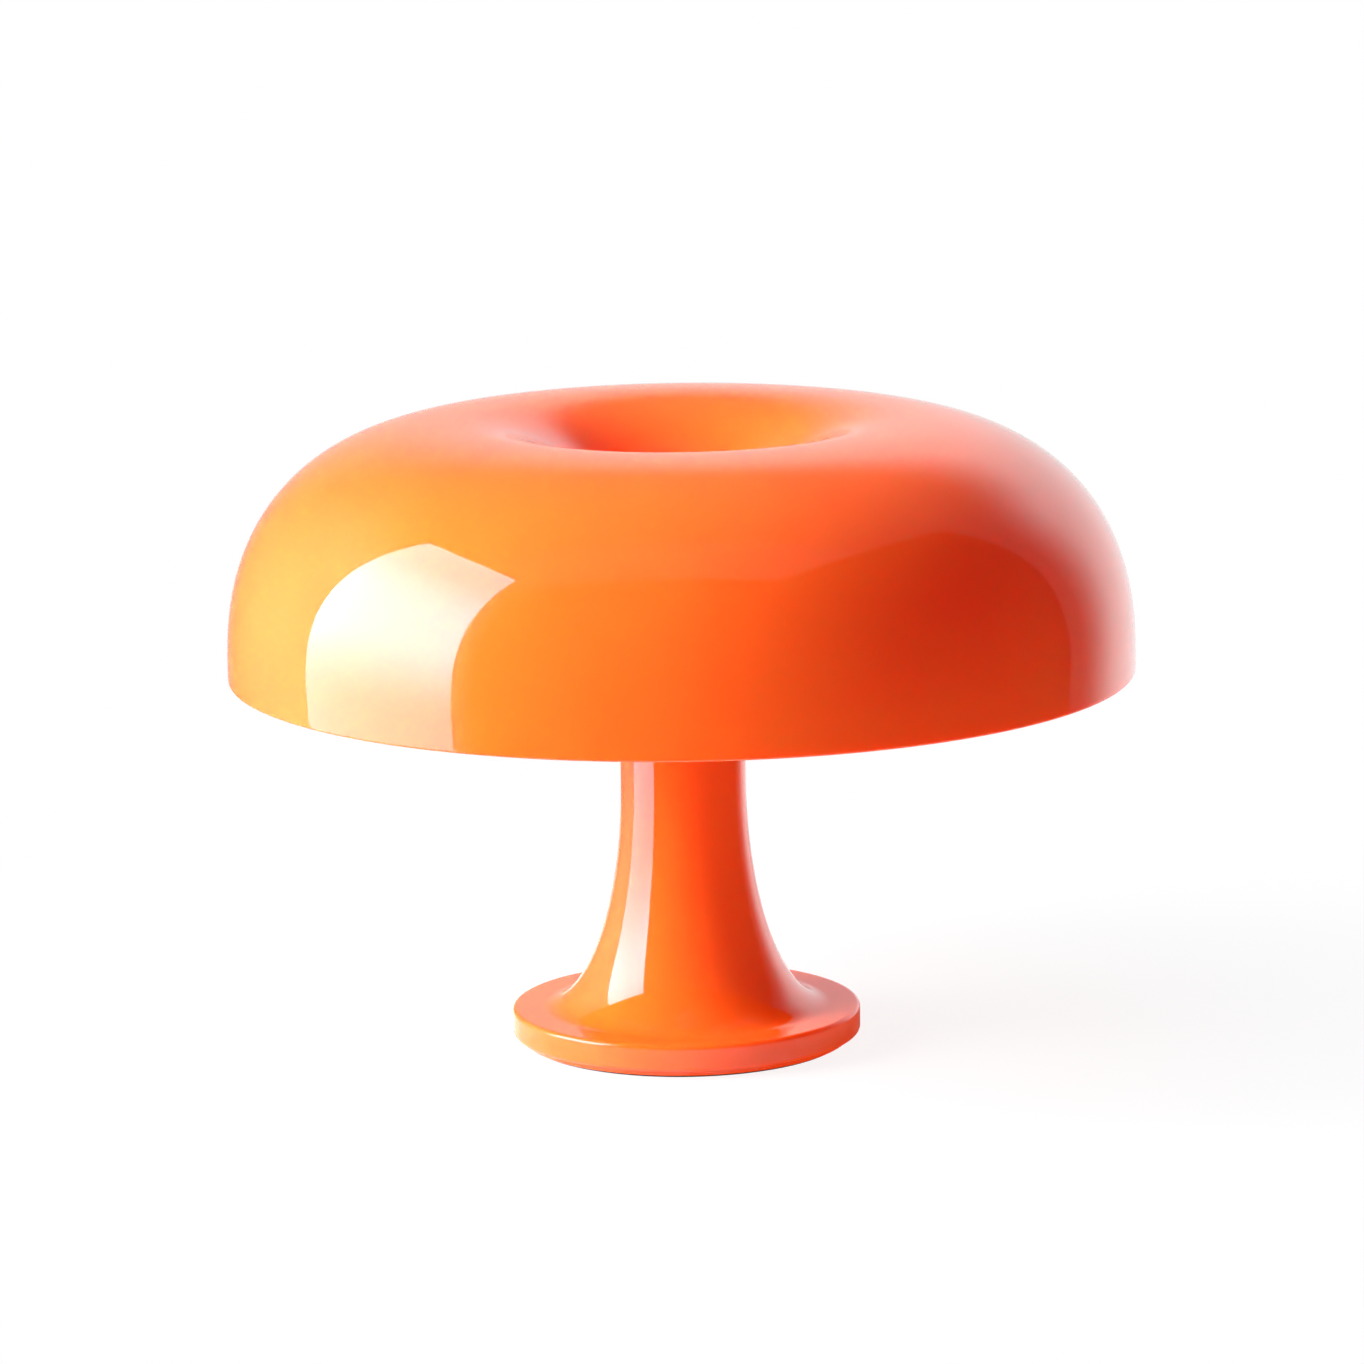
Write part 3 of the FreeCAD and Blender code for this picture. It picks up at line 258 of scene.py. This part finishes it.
def inlet_pocket():
    """Round pocket inside the rim for the inner flange of the inlet bush."""
    pocket_outline = run((0, flange_near), (flange_room, flange_near),
                         (flange_room, flange_far), (0, flange_far), count=2)
    return laid_out(lathe("inlet_pocket", pocket_outline, steps=48), 90, inlet_height)


thick_orange = orange_shell("thick_orange", red=0.985, depth=0.003, spread=(0.25, 0.12))
cover_edge, cover_low, cover_round = 58.5, 0.8, 0.6
cover_top, lip_inside, lip_top = 3.3, 56.0, 4.7
groove_inside, groove_outside, groove_roof = 52.5, 56.5, 1.6
round_centre = (cover_edge - cover_round, cover_low + cover_round)
cover_outline = np.vstack([
    run((0, cover_low), (groove_inside, cover_low), (groove_inside, groove_roof),
        (groove_outside, groove_roof), (groove_outside, cover_low), (round_centre[0], cover_low)),
    arc(round_centre, cover_round, -90, 0, 8),
    run((cover_edge, round_centre[1]), (cover_edge, lip_top), (lip_inside, lip_top),
        (lip_inside, cover_top), (0, cover_top)),
])
screw_circle, screw_angles = 47.0, (30, 150, 270)
head_room, head_depth, shank_room, shank_end = 3.0, 2.2, 1.7, 4.0
sink_outline = run((0, 0), (head_room, 0), (head_room, head_depth), (shank_room, head_depth),
                   (shank_room, shank_end), (0, shank_end), count=2)
sinks = repeated("screw_sink", sink_outline, screw_circle, screw_angles)
cover = worked(lathe("cover", cover_outline), "DIFFERENCE", [*sinks, inlet_pocket()])
placed("cover", cover, thick_orange, "base", "orange_shell", "base_cover")

# Screws, centre tube, nuts, washers and clip.
# Zinc-plated steel: the screws hold the covers, and the threaded tube runs up the stem with a nut
# and washer at each end, clamping the hub, the stem and the ballast together.

plated = grained("zinc_plate", (0.50, 0.51, 0.50), (0.62, 0.62, 0.58),
                 rough=(0.22, 0.42), grain=2500, depth=1.5e-5, metal=1.0)
dressed(["cover_screws", "hub_screws", "centre_tube", "upper_tube_nut", "upper_tube_washer",
         "lower_tube_nut", "lower_tube_washer", "knob_stud", "knob_clip", "terminal_screws",
         "terminal_fixing"], plated)

# Ballast.
# A raw iron casting under the trumpet, pulled up against the base by the tube's lower nut.

cast_iron = grained("cast_iron", (0.035, 0.034, 0.034), (0.075, 0.070, 0.066),
                    rough=(0.6, 0.85), grain=700, depth=2e-4, metal=0.6)
dressed(["ballast"], cast_iron)

# Mains terminals and wiring.
# A moulded two-pole block on the base cover with brass poles, and insulated wires from there up
# the tube to a junction block, with short leads on to the lampholders.

white_plastic = grained("white_heat_plastic", (0.44, 0.43, 0.40), (0.48, 0.47, 0.44),
                        rough=(0.38, 0.55), grain=1500, depth=2e-5)
brass = grained("rolled_brass", (0.68, 0.44, 0.16), (0.80, 0.57, 0.24),
                rough=(0.18, 0.36), grain=2200, depth=1.5e-5, metal=1.0)
brown_wire = grained("brown_insulation", (0.055, 0.020, 0.010), (0.075, 0.028, 0.013),
                     rough=(0.35, 0.5), grain=2600, depth=1e-5)
blue_wire = grained("blue_insulation", (0.012, 0.060, 0.28), (0.018, 0.085, 0.36),
                    rough=(0.35, 0.5), grain=2600, depth=1e-5)
white_lead = grained("white_insulation", (0.62, 0.62, 0.58), (0.70, 0.70, 0.66),
                     rough=(0.4, 0.55), grain=2600, depth=1e-5)
dressed(["terminal_block", "junction_block"], white_plastic)
dressed(["terminal_inserts"], brass)
dressed(["live_wire"], brown_wire)
dressed(["neutral_wire"], blue_wire)
dressed(["holder_leads"], white_lead)

# Stem.
# One hollow moulding in glossy orange plastic: a round column that opens in a long trumpet curve
# on to a flat disc with a softened edge. Its top carries the lampholder hub.

column, flare_foot, flare_top = 22.2, 51.5, 95.0
stem_top, roof_low, tube_hole = 142.0, 138.5, 5.3
disc_edge, disc_top, disc_low, wall, edge_round = 62.0, 12.5, 2.8, 2.8, 1.6


def trumpet(inset, count):
    """Quarter ellipse from the flat of the base up to the column, moved in by inset."""
    turn = np.linspace(0, np.pi / 2, count)
    across = flare_foot - (flare_foot - column + inset) * np.sin(turn)
    down = flare_top - (flare_top - disc_top + inset) * np.cos(turn)
    return np.column_stack([across, down])


round_edge, disc_inside, disc_under = disc_edge - edge_round, disc_edge - wall, disc_top - wall
stem_outline = np.vstack([
    run((disc_inside, disc_under), (disc_inside, disc_low), (round_edge, disc_low)),
    arc((round_edge, disc_low + edge_round), edge_round, -90, 0, 12),
    run((disc_edge, disc_low + edge_round), (disc_edge, disc_top - edge_round), count=5),
    arc((round_edge, disc_top - edge_round), edge_round, 0, 90, 12),
    run((round_edge, disc_top), (flare_foot, disc_top), count=12),
    trumpet(0, 110),
    run((column, flare_top), (column, stem_top), count=24),
    run((column, stem_top), (tube_hole, stem_top), (tube_hole, roof_low),
        (column - wall, roof_low), (column - wall, flare_top), count=8),
    trumpet(wall, 60)[::-1],
    run((flare_foot, disc_under), (disc_inside, disc_under)),
])
slot_half, slot_near, slot_far = 3.8, 56.4, 63.5


def inlet_slot():
    """Arch-topped bar along Y for the inlet's slot: a half circle over two upright sides, carried
    straight from inside the rim to outside it."""
    sides_down = [(-slot_half, 0), (slot_half, 0)]
    arch = np.vstack([arc((0, inlet_height), slot_half, 0, 180, 25), sides_down])
    ends = [np.insert(arch, 1, distance, axis=1) for distance in (slot_near, slot_far)]
    count = len(arch)
    i = np.arange(count)
    beside = (i + 1) % count
    sides = np.stack([i, beside, beside + count, i + count], -1)
    faces = [*sides.tolist(), i.tolist(), (i + count).tolist()]
    bar = bpy.data.meshes.new("inlet_slot")
    bar.from_pydata(np.vstack(ends) * MM, [], faces)
    return settled(bar)


boss, boss_hole, boss_roof, hole_roof = 3.5, 1.5, 11.1, 7.5
boss_outline = run((boss_hole, cover_top), (boss, cover_top), (boss, boss_roof), (0, boss_roof),
                   (0, hole_roof), (boss_hole, hole_roof), (boss_hole, cover_top), count=2)
bosses = repeated("screw_boss", boss_outline, screw_circle, screw_angles)
stem = worked(lathe("trumpet_stem", stem_outline), "UNION", bosses)
stem = worked(stem, "DIFFERENCE", [inlet_slot(), inlet_pocket()])
placed("trumpet_stem", stem, thick_orange, "base", "orange_shell", "stem", "base_disc")

# Lampholder hub, its cover and the shade's seat.
# Moulded in white heat-resistant plastic. The cover carries a brass insert for the knob's stud
# and a milky silicone ring on which the shade's floor rests.

silicone = grained("milky_silicone", (0.62, 0.62, 0.59), (0.70, 0.70, 0.67),
                   rough=(0.4, 0.6), grain=1600, depth=1.5e-5)
dressed(["holder_hub", "hub_cover"], white_plastic)
dressed(["thread_insert"], brass)
dressed(["shade_seat_ring"], silicone)

# Lampholders.
# Four small moulded holders on brass nipples round the hub, each lined with a thin brass screw
# shell and with a brass contact on its floor.

holders = range(1, 5)
dressed([f"lampholder_{n}" for n in holders], white_plastic)
dressed([f"screw_shell_{n}" for n in holders] + ["holder_nipples", "centre_contacts"], brass)

# Bulbs.
# Golf-ball bulbs lying out from the hub: blown opal glass cemented into a nickel-plated screw
# cap, with a black glass insulator and a solder tip at its end.

nickel = grained("nickel_plate", (0.60, 0.58, 0.53), (0.70, 0.68, 0.63),
                 rough=(0.16, 0.3), grain=2400, depth=1e-5, metal=1.0)
insulator = grained("black_insulator", (0.015, 0.015, 0.017), (0.03, 0.03, 0.032),
                    rough=(0.15, 0.35), grain=1400, depth=2e-5)
dressed([f"bulb_cap_{n}" for n in holders], nickel)
dressed([f"bulb_contact_{n}" for n in holders], insulator)


def opal_glass():
    """Creamy flashed glass: a soft gloss and a faint cloudiness from the opal layer inside."""
    material, tree, shader, place = finish_nodes("opal_glass")
    cloud = tinted(tree, speckle(tree, place, 60), (0.41, 0.39, 0.35), (0.45, 0.43, 0.39))
    tree.links.new(cloud, shader.inputs["Base Color"])
    polish = between(tree, speckle(tree, place, 300), 0.10, 0.18)
    tree.links.new(polish, shader.inputs["Roughness"])
    shader.inputs["Subsurface Weight"].default_value = 0.3
    shader.inputs["Subsurface Radius"].default_value = (1.0, 0.9, 0.8)
    shader.inputs["Subsurface Scale"].default_value = 0.004
    return material


opal = opal_glass()
globe, globe_centre, glass, holder_height = 22.5, 85.9, 0.9, 162.0
glass_start, glass_neck, neck_end, shoulder, cone_angle = 45.3, 5.7, 51.65, 7.6, 35


def globe_line(inset, count):
    """Neck, cone and globe of the glass as distance from the bulb's axis and distance out along
    it, moved in by inset. The cone meets the globe as a tangent."""
    size, start, lean = globe - inset, shoulder - inset, math.radians(cone_angle)
    tangent = np.array([size * math.cos(lean), globe_centre - size * math.sin(lean)])
    cone_start = (start, tangent[1] - (tangent[0] - start) / math.tan(lean))
    neck_line = (glass_neck - inset, glass_start), (glass_neck - inset, neck_end)
    return np.vstack([
        run(*neck_line, cone_start, tangent, count=8),
        arc((0, globe_centre), size, -cone_angle, 90, count),
    ])


for n in holders:
    glass_outline = np.vstack([globe_line(0, 48), globe_line(glass, 32)[::-1]])
    bulb = laid_out(lathe(f"globe_{n}", glass_outline, steps=96), 90 * (n - 1), holder_height)
    placed(f"globe_{n}", bulb, opal, f"bulb_{n}", "opal_glass", f"bulb_glass_{n}")

# Shade.
# One injection-moulded shell in glossy orange plastic: a domed ring that rolls over a broad crown
# into a smooth central funnel. The funnel's floor sits on the hub and the knob holds it there.

rim_edge, rim_low, rim_round, skirt_top = 160.0, 134.0, 0.8, 140.0
crown, crown_top, shell, dome_power = 76.0, 223.0, 2.5, 2.3
neck, neck_height, floor_corner, floor_top, stud_hole = 29.0, 184.5, 3.5, 181.0, 3.5


def dome(inset, count):
    """Quarter superellipse of the dome's power from the skirt up to the crown, moved in by inset:
    cosine and sine of the turn, each to 2 / power."""
    turn = np.linspace(0, np.pi / 2, count)
    out = np.clip(np.cos(turn), 0, 1) ** (2 / dome_power)
    rise = np.sin(turn) ** (2 / dome_power)
    return np.column_stack([crown + (rim_edge - crown - inset) * out,
                            skirt_top + (crown_top - skirt_top - inset) * rise])


def funnel(inset, count):
    """Quarter ellipse from the crown down to the funnel's neck, moved in by inset."""
    turn = np.linspace(0, np.pi / 2, count)
    return np.column_stack([crown - (crown - neck - inset) * np.sin(turn),
                            neck_height + (crown_top - neck_height - inset) * np.cos(turn)])


floor_edge, floor_low = neck - floor_corner, floor_top - shell
rim_inside, rim_rounded = rim_edge - shell, rim_low + rim_round
shade_outline = np.vstack([
    run((rim_edge, rim_rounded), (rim_edge, skirt_top), count=5),
    dome(0, 110),
    funnel(0, 70),
    arc((floor_edge, neck_height), floor_corner, 0, -90, 10),
    run((floor_edge, floor_top), (stud_hole, floor_top), (stud_hole, floor_low),
        (floor_edge, floor_low), count=6),
    arc((floor_edge, neck_height), floor_corner + shell, -90, 0, 10),
    funnel(shell, 45)[::-1],
    dome(shell, 70)[::-1],
    run((rim_inside, skirt_top), (rim_inside, rim_rounded), count=5),
    arc((rim_inside + rim_round, rim_rounded), rim_round, 180, 270, 7),
    arc((rim_edge - rim_round, rim_rounded), rim_round, 270, 360, 7),
])
thin_orange = orange_shell("thin_orange", red=0.935, depth=0.012, spread=(0.058, 0.029))
placed("mushroom_shade", lathe("mushroom_shade", shade_outline), thin_orange, "shade",
       "orange_shell", "shade_dome", "shade_funnel")

# Shade knob.
# A fluted thumb knob moulded in the same orange plastic over a steel stud, kept on the shade by a
# spring clip. It stands at the bottom of the funnel.

knob_low, knob_high, knob_edge, knob_round = 181.2, 193.2, 14.0, 1.6
flutes, flute_depth, flute_fade, lip, dish = 12, 1.1, 2.0, 10.2, 0.7


def fluted_knob():
    """Grid of profile and turn: the outer radius dips in a rounded scallop at each flute,
    r - depth * (0.5 + 0.5 cos(flutes * turn))^3, which fades out over the top, and the top is
    dished, z = high - dish * (1 - (r / lip)^2) inside the lip."""
    turn = np.linspace(0, 2 * np.pi, 240, endpoint=False)
    scallop = flute_depth * (0.5 + 0.5 * np.cos(flutes * turn)) ** 3
    inward = np.linspace(lip, 0, 9)
    line = np.vstack([
        run((0, knob_low), (knob_edge, knob_low), count=7),
        run((knob_edge, knob_low), (knob_edge, knob_high - knob_round), count=10),
        arc((knob_edge - knob_round, knob_high - knob_round), knob_round, 0, 90, 9),
        np.column_stack([inward, knob_high - dish * (1 - (inward / lip) ** 2)]),
    ])
    radius, height = line[:, :1], line[:, 1:]
    ring = radius - scallop * np.clip((radius - lip) / flute_fade, 0, 1)
    grid = np.stack([ring * np.cos(turn), ring * np.sin(turn), height + 0 * turn], -1) * MM
    return skinned("fluted_knob", grid, np.arange(len(line) - 1))


placed("fluted_knob", fluted_knob(), thick_orange, "knob", "orange_shell", "shade_knob")

# Studio.
# White floor, white sheet and wall behind and on the left, pale canopy overhead, and a tall soft
# panel on the left that shows in the gloss, with three plain soft lamps beside it for the light.


def reckoned(tree, operation, *terms):
    """One arithmetic step on sockets or plain numbers, taken in turn where there are more than
    two."""
    result = terms[0]
    for term in terms[1:]:
        step = tree.nodes.new("ShaderNodeMath")
        step.operation = operation
        for socket, value in zip(step.inputs, (result, term)):
            if isinstance(value, (int, float)):
                socket.default_value = value
            else:
                tree.links.new(value, socket)
        result = step.outputs["Value"]
    return result


def mirror_rays(path):
    """One for rays that left a glossy or a clear surface, else zero."""
    rays = path.outputs["Is Glossy Ray"], path.outputs["Is Transmission Ray"]
    return reckoned(path.id_data, "MAXIMUM", *rays)


def white_floor():
    """White floor: plain diffuse for light, and mostly its own white where it is seen or mirrored,
    so that the lamp's shadow stays as a light grey. Close to the lamp it is mirrored less, and it
    glows warm orange-red for diffuse rays: painted bounce light that stands in for the shade's
    orange light thrown back by the floor."""
    material, tree, shader, place = finish_nodes("white_floor")
    patches = speckle(tree, place, 3, detail=2.0)
    tree.links.new(tinted(tree, patches, (0.80, 0.80, 0.80), (0.82, 0.82, 0.82)),
                   shader.inputs["Base Color"])
    shader.inputs["Roughness"].default_value = 0.9
    shader.inputs["Specular IOR Level"].default_value = 0.0
    path = tree.nodes.new("ShaderNodeLightPath")
    camera_ray, diffuse_ray = path.outputs["Is Camera Ray"], path.outputs["Is Diffuse Ray"]
    reach = tree.nodes.new("ShaderNodeVectorMath")
    reach.operation = "LENGTH"
    tree.links.new(place, reach.inputs[0])
    away = reach.outputs["Value"]

    def shared(rays, near, far, start, end):
        """Share for the rays, from near to far between two distances from the lamp's axis."""
        return reckoned(tree, "MULTIPLY", rays, between(tree, away, near, far, start, end))

    seen = shared(camera_ray, near=0.88, far=1.0, start=0.15, end=0.40)
    mirrored = shared(mirror_rays(path), near=0.0, far=1.0, start=0.16, end=0.42)
    # Painted bounce light: close to the lamp the floor glows warm orange-red for diffuse rays, in
    # place of the shade's light thrown back.
    painted_bounce_share = shared(diffuse_ray, near=1.0, far=0.0, start=0.12, end=0.28)
    painted_bounce_boost = shared(diffuse_ray, near=0.12, far=1.0, start=0.07, end=0.12)
    glow = tree.nodes.new("ShaderNodeEmission")
    painted_bounce_tint = tinted(tree, diffuse_ray, (1.0, 1.0, 1.0), (1.0, 0.5, 0.41), 0.0, 1.0)
    tree.links.new(painted_bounce_tint, glow.inputs["Color"])
    tree.links.new(reckoned(tree, "ADD", painted_bounce_boost, 1.0), glow.inputs["Strength"])
    mix = tree.nodes.new("ShaderNodeMixShader")
    tree.links.new(reckoned(tree, "MAXIMUM", seen, mirrored, painted_bounce_share), mix.inputs["Fac"])
    tree.links.new(shader.outputs["BSDF"], mix.inputs[1])
    tree.links.new(glow.outputs["Emission"], mix.inputs[2])
    tree.links.new(mix.outputs["Shader"], tree.nodes["Material Output"].inputs["Surface"])
    material.cycles.emission_sampling = "NONE"
    return material


floor_radius, floor_rings = 0.42, 15
floor_reach = np.linspace(0, floor_radius, floor_rings)[:, None]
floor_turn = np.linspace(0, 2 * np.pi, 96, endpoint=False)
floor_grid = np.stack([floor_reach * np.cos(floor_turn), floor_reach * np.sin(floor_turn),
                       0 * floor_reach * floor_turn], -1)
floor_mesh = skinned("floor", floor_grid, np.arange(floor_rings - 1))
floor_mesh.materials.append(white_floor())
floor = bpy.data.objects.new("floor", floor_mesh)
bpy.context.scene.collection.objects.link(floor)

world = bpy.data.worlds.new("studio")
bpy.context.scene.world = world
world.use_nodes = True
sky = world.node_tree
background = sky.nodes["Background"]
background.inputs["Color"].default_value = (1, 1, 1, 1)
direction = sky.nodes.new("ShaderNodeSeparateXYZ")
outward = sky.nodes.new("ShaderNodeTexCoord").outputs["Generated"]
sky.links.new(outward, direction.inputs["Vector"])
right, back, rise = (direction.outputs[axis] for axis in "XYZ")
compass = reckoned(sky, "ARCTAN2", right, back)


def swept(low, high, start, end):
    """Number that goes softly from low to high between two compass bearings, in degrees right of
    straight behind."""
    bearings = math.radians(start), math.radians(end)
    return between(sky, compass, low, high, *bearings, "SMOOTHSTEP")


def climbed(low, high, start, end):
    """Number that goes softly from low to high between two rises of a direction, 1 being straight
    up."""
    return between(sky, rise, low, high, start, end, "SMOOTHSTEP")


lit_side = reckoned(sky, "MULTIPLY", swept(1, 0, 65.3, 67.2), swept(0, 1, -128, -118))
sheet = reckoned(sky, "MULTIPLY", lit_side, swept(0, 1, -30, 40), swept(1, 0, 38, 63),
                 climbed(1, 0, 0.375, 0.67))
left_wall = reckoned(sky, "MULTIPLY", lit_side, swept(1, 0, -85, -20), climbed(1, 0, 0.5, 0.8))

canopy_skew, canopy_side = 0.443, (0.655, 0.680)
canopy_front, beam_front = (-0.570, -0.545), (-0.090, -0.070)
skewed = reckoned(sky, "SUBTRACT", right, reckoned(sky, "MULTIPLY", back, canopy_skew))
aside, forth = reckoned(sky, "DIVIDE", skewed, rise), reckoned(sky, "DIVIDE", back, rise)
canopy = reckoned(sky, "MULTIPLY", between(sky, aside, 1, 0, *canopy_side),
                  between(sky, forth, 0, 1, *canopy_front), climbed(0, 1, 0.25, 0.35))
beam = reckoned(sky, "MULTIPLY", canopy, between(sky, forth, 1, 0, *beam_front))
pale_room = reckoned(sky, "MAXIMUM", lit_side, canopy)

whites = ((sheet, 1.36), (left_wall, 1.33), (pale_room, 0.20), (beam, 0.13))
dark_room = 0.07
shares = [reckoned(sky, "MULTIPLY", part, white) for part, white in whites]
studio = reckoned(sky, "ADD", *shares, dark_room)
sight = sky.nodes.new("ShaderNodeLightPath")
mirrored_sheet = reckoned(sky, "MULTIPLY", mirror_rays(sight), sheet)
seen_white = reckoned(sky, "MAXIMUM", sight.outputs["Is Camera Ray"], mirrored_sheet)
sky.links.new(reckoned(sky, "MAXIMUM", studio, seen_white), background.inputs["Strength"])


def panel_glow(edge, middle):
    """Light of the soft panel: brightest at lamp height, falling to its edge value below and
    above."""
    material, tree, shader, place = finish_nodes("panel_glow")
    split = tree.nodes.new("ShaderNodeSeparateXYZ")
    tree.links.new(place, split.inputs["Vector"])
    height = split.outputs["Z"]
    rising = between(tree, height, 0.0, 1.0, -0.08, 0.50, "SMOOTHSTEP")
    falling = between(tree, height, 1.0, 0.26, 0.70, 1.40, "SMOOTHSTEP")
    share = reckoned(tree, "MULTIPLY", rising, falling)
    glow = tree.nodes.new("ShaderNodeEmission")
    glow.inputs["Color"].default_value = (1.0, 0.75, 1.0, 1)
    tree.links.new(between(tree, share, edge, middle, 0.0, 1.0), glow.inputs["Strength"])
    tree.links.new(glow.outputs["Emission"], tree.nodes["Material Output"].inputs["Surface"])
    return material


def on_bearing(bearing, distance):
    """Place of something that stands upright at a distance, turned to face the lamp; bearings are
    in degrees right of straight behind."""
    turn = math.radians(bearing)
    spot = Matrix.Translation((distance * math.sin(turn), distance * math.cos(turn), 0))
    return spot @ Matrix.Rotation(-turn, 4, "Z")


panel_half, panel_low, panel_high, panel_rows, panel_columns = 0.54, -0.40, 1.70, 12, 6
panel_bearing, panel_distance = -101, 1.25
panel_across, panel_up = np.meshgrid(np.linspace(-panel_half, panel_half, panel_columns + 1),
                                     np.linspace(panel_low, panel_high, panel_rows + 1))
panel_grid = np.stack([panel_across, 0 * panel_across, panel_up], -1)
i, j = np.meshgrid(np.arange(panel_rows), np.arange(panel_columns), indexing="ij")
corner = i * (panel_columns + 1) + j
above = corner + panel_columns + 1
panel_quads = np.stack([corner, corner + 1, above + 1, above], -1).reshape(-1, 4)
panel_mesh = bpy.data.meshes.new("left_panel")
panel_mesh.from_pydata(panel_grid.reshape(-1, 3), [], panel_quads.tolist())
panel_mesh.transform(on_bearing(panel_bearing, panel_distance))
panel_mesh.materials.append(panel_glow(edge=6.8, middle=15.6))
panel = bpy.data.objects.new("left_panel", panel_mesh)
bpy.context.scene.collection.objects.link(panel)
panel.visible_camera = False
panel.visible_shadow = False
panel.visible_diffuse = False

lamp_distance, lamp_width = 1.60, 1.0


def soft_lamp(name, bearing, low, high, radiance):
    """Rectangular soft lamp between two heights, hidden from the gloss: its power is its
    brightness times pi times its area."""
    lamp = bpy.data.lights.new(name, "AREA")
    lamp.shape = "RECTANGLE"
    lamp.size = lamp_width
    lamp.size_y = high - low
    lamp.energy = radiance * math.pi * lamp.size * lamp.size_y
    piece = bpy.data.objects.new(name, lamp)
    upright = on_bearing(bearing, lamp_distance) @ Matrix.Rotation(-math.pi / 2, 4, "X")
    piece.matrix_world = Matrix.Translation((0, 0, (low + high) / 2)) @ upright
    piece.visible_glossy = False
    bpy.context.scene.collection.objects.link(piece)


soft_lamp("key_lamp", bearing=-101, low=0.1, high=1.8, radiance=18.5)
soft_lamp("side_fill", bearing=-115, low=0.1, high=1.1, radiance=11.5)
soft_lamp("high_fill", bearing=-95, low=1.0, high=1.8, radiance=11.0)

# Camera.
# Long lens at a slight downward tilt, a little rolled, as the photograph was taken.

eye_distance, eye_height, tilt_down, roll = 2.200, 0.566, 11.23, 0.77
eye = bpy.data.cameras.new("camera")
eye.sensor_width = 36
eye.lens = 167.5
camera = bpy.data.objects.new("camera", eye)
tilt = Matrix.Rotation(math.radians(90 - tilt_down), 4, "X")
rolled = tilt @ Matrix.Rotation(math.radians(-roll), 4, "Z")
camera.matrix_world = Matrix.Translation((0, -eye_distance, eye_height)) @ rolled
bpy.context.scene.collection.objects.link(camera)
bpy.context.scene.camera = camera
bpy.context.scene.view_settings.view_transform = "Standard"
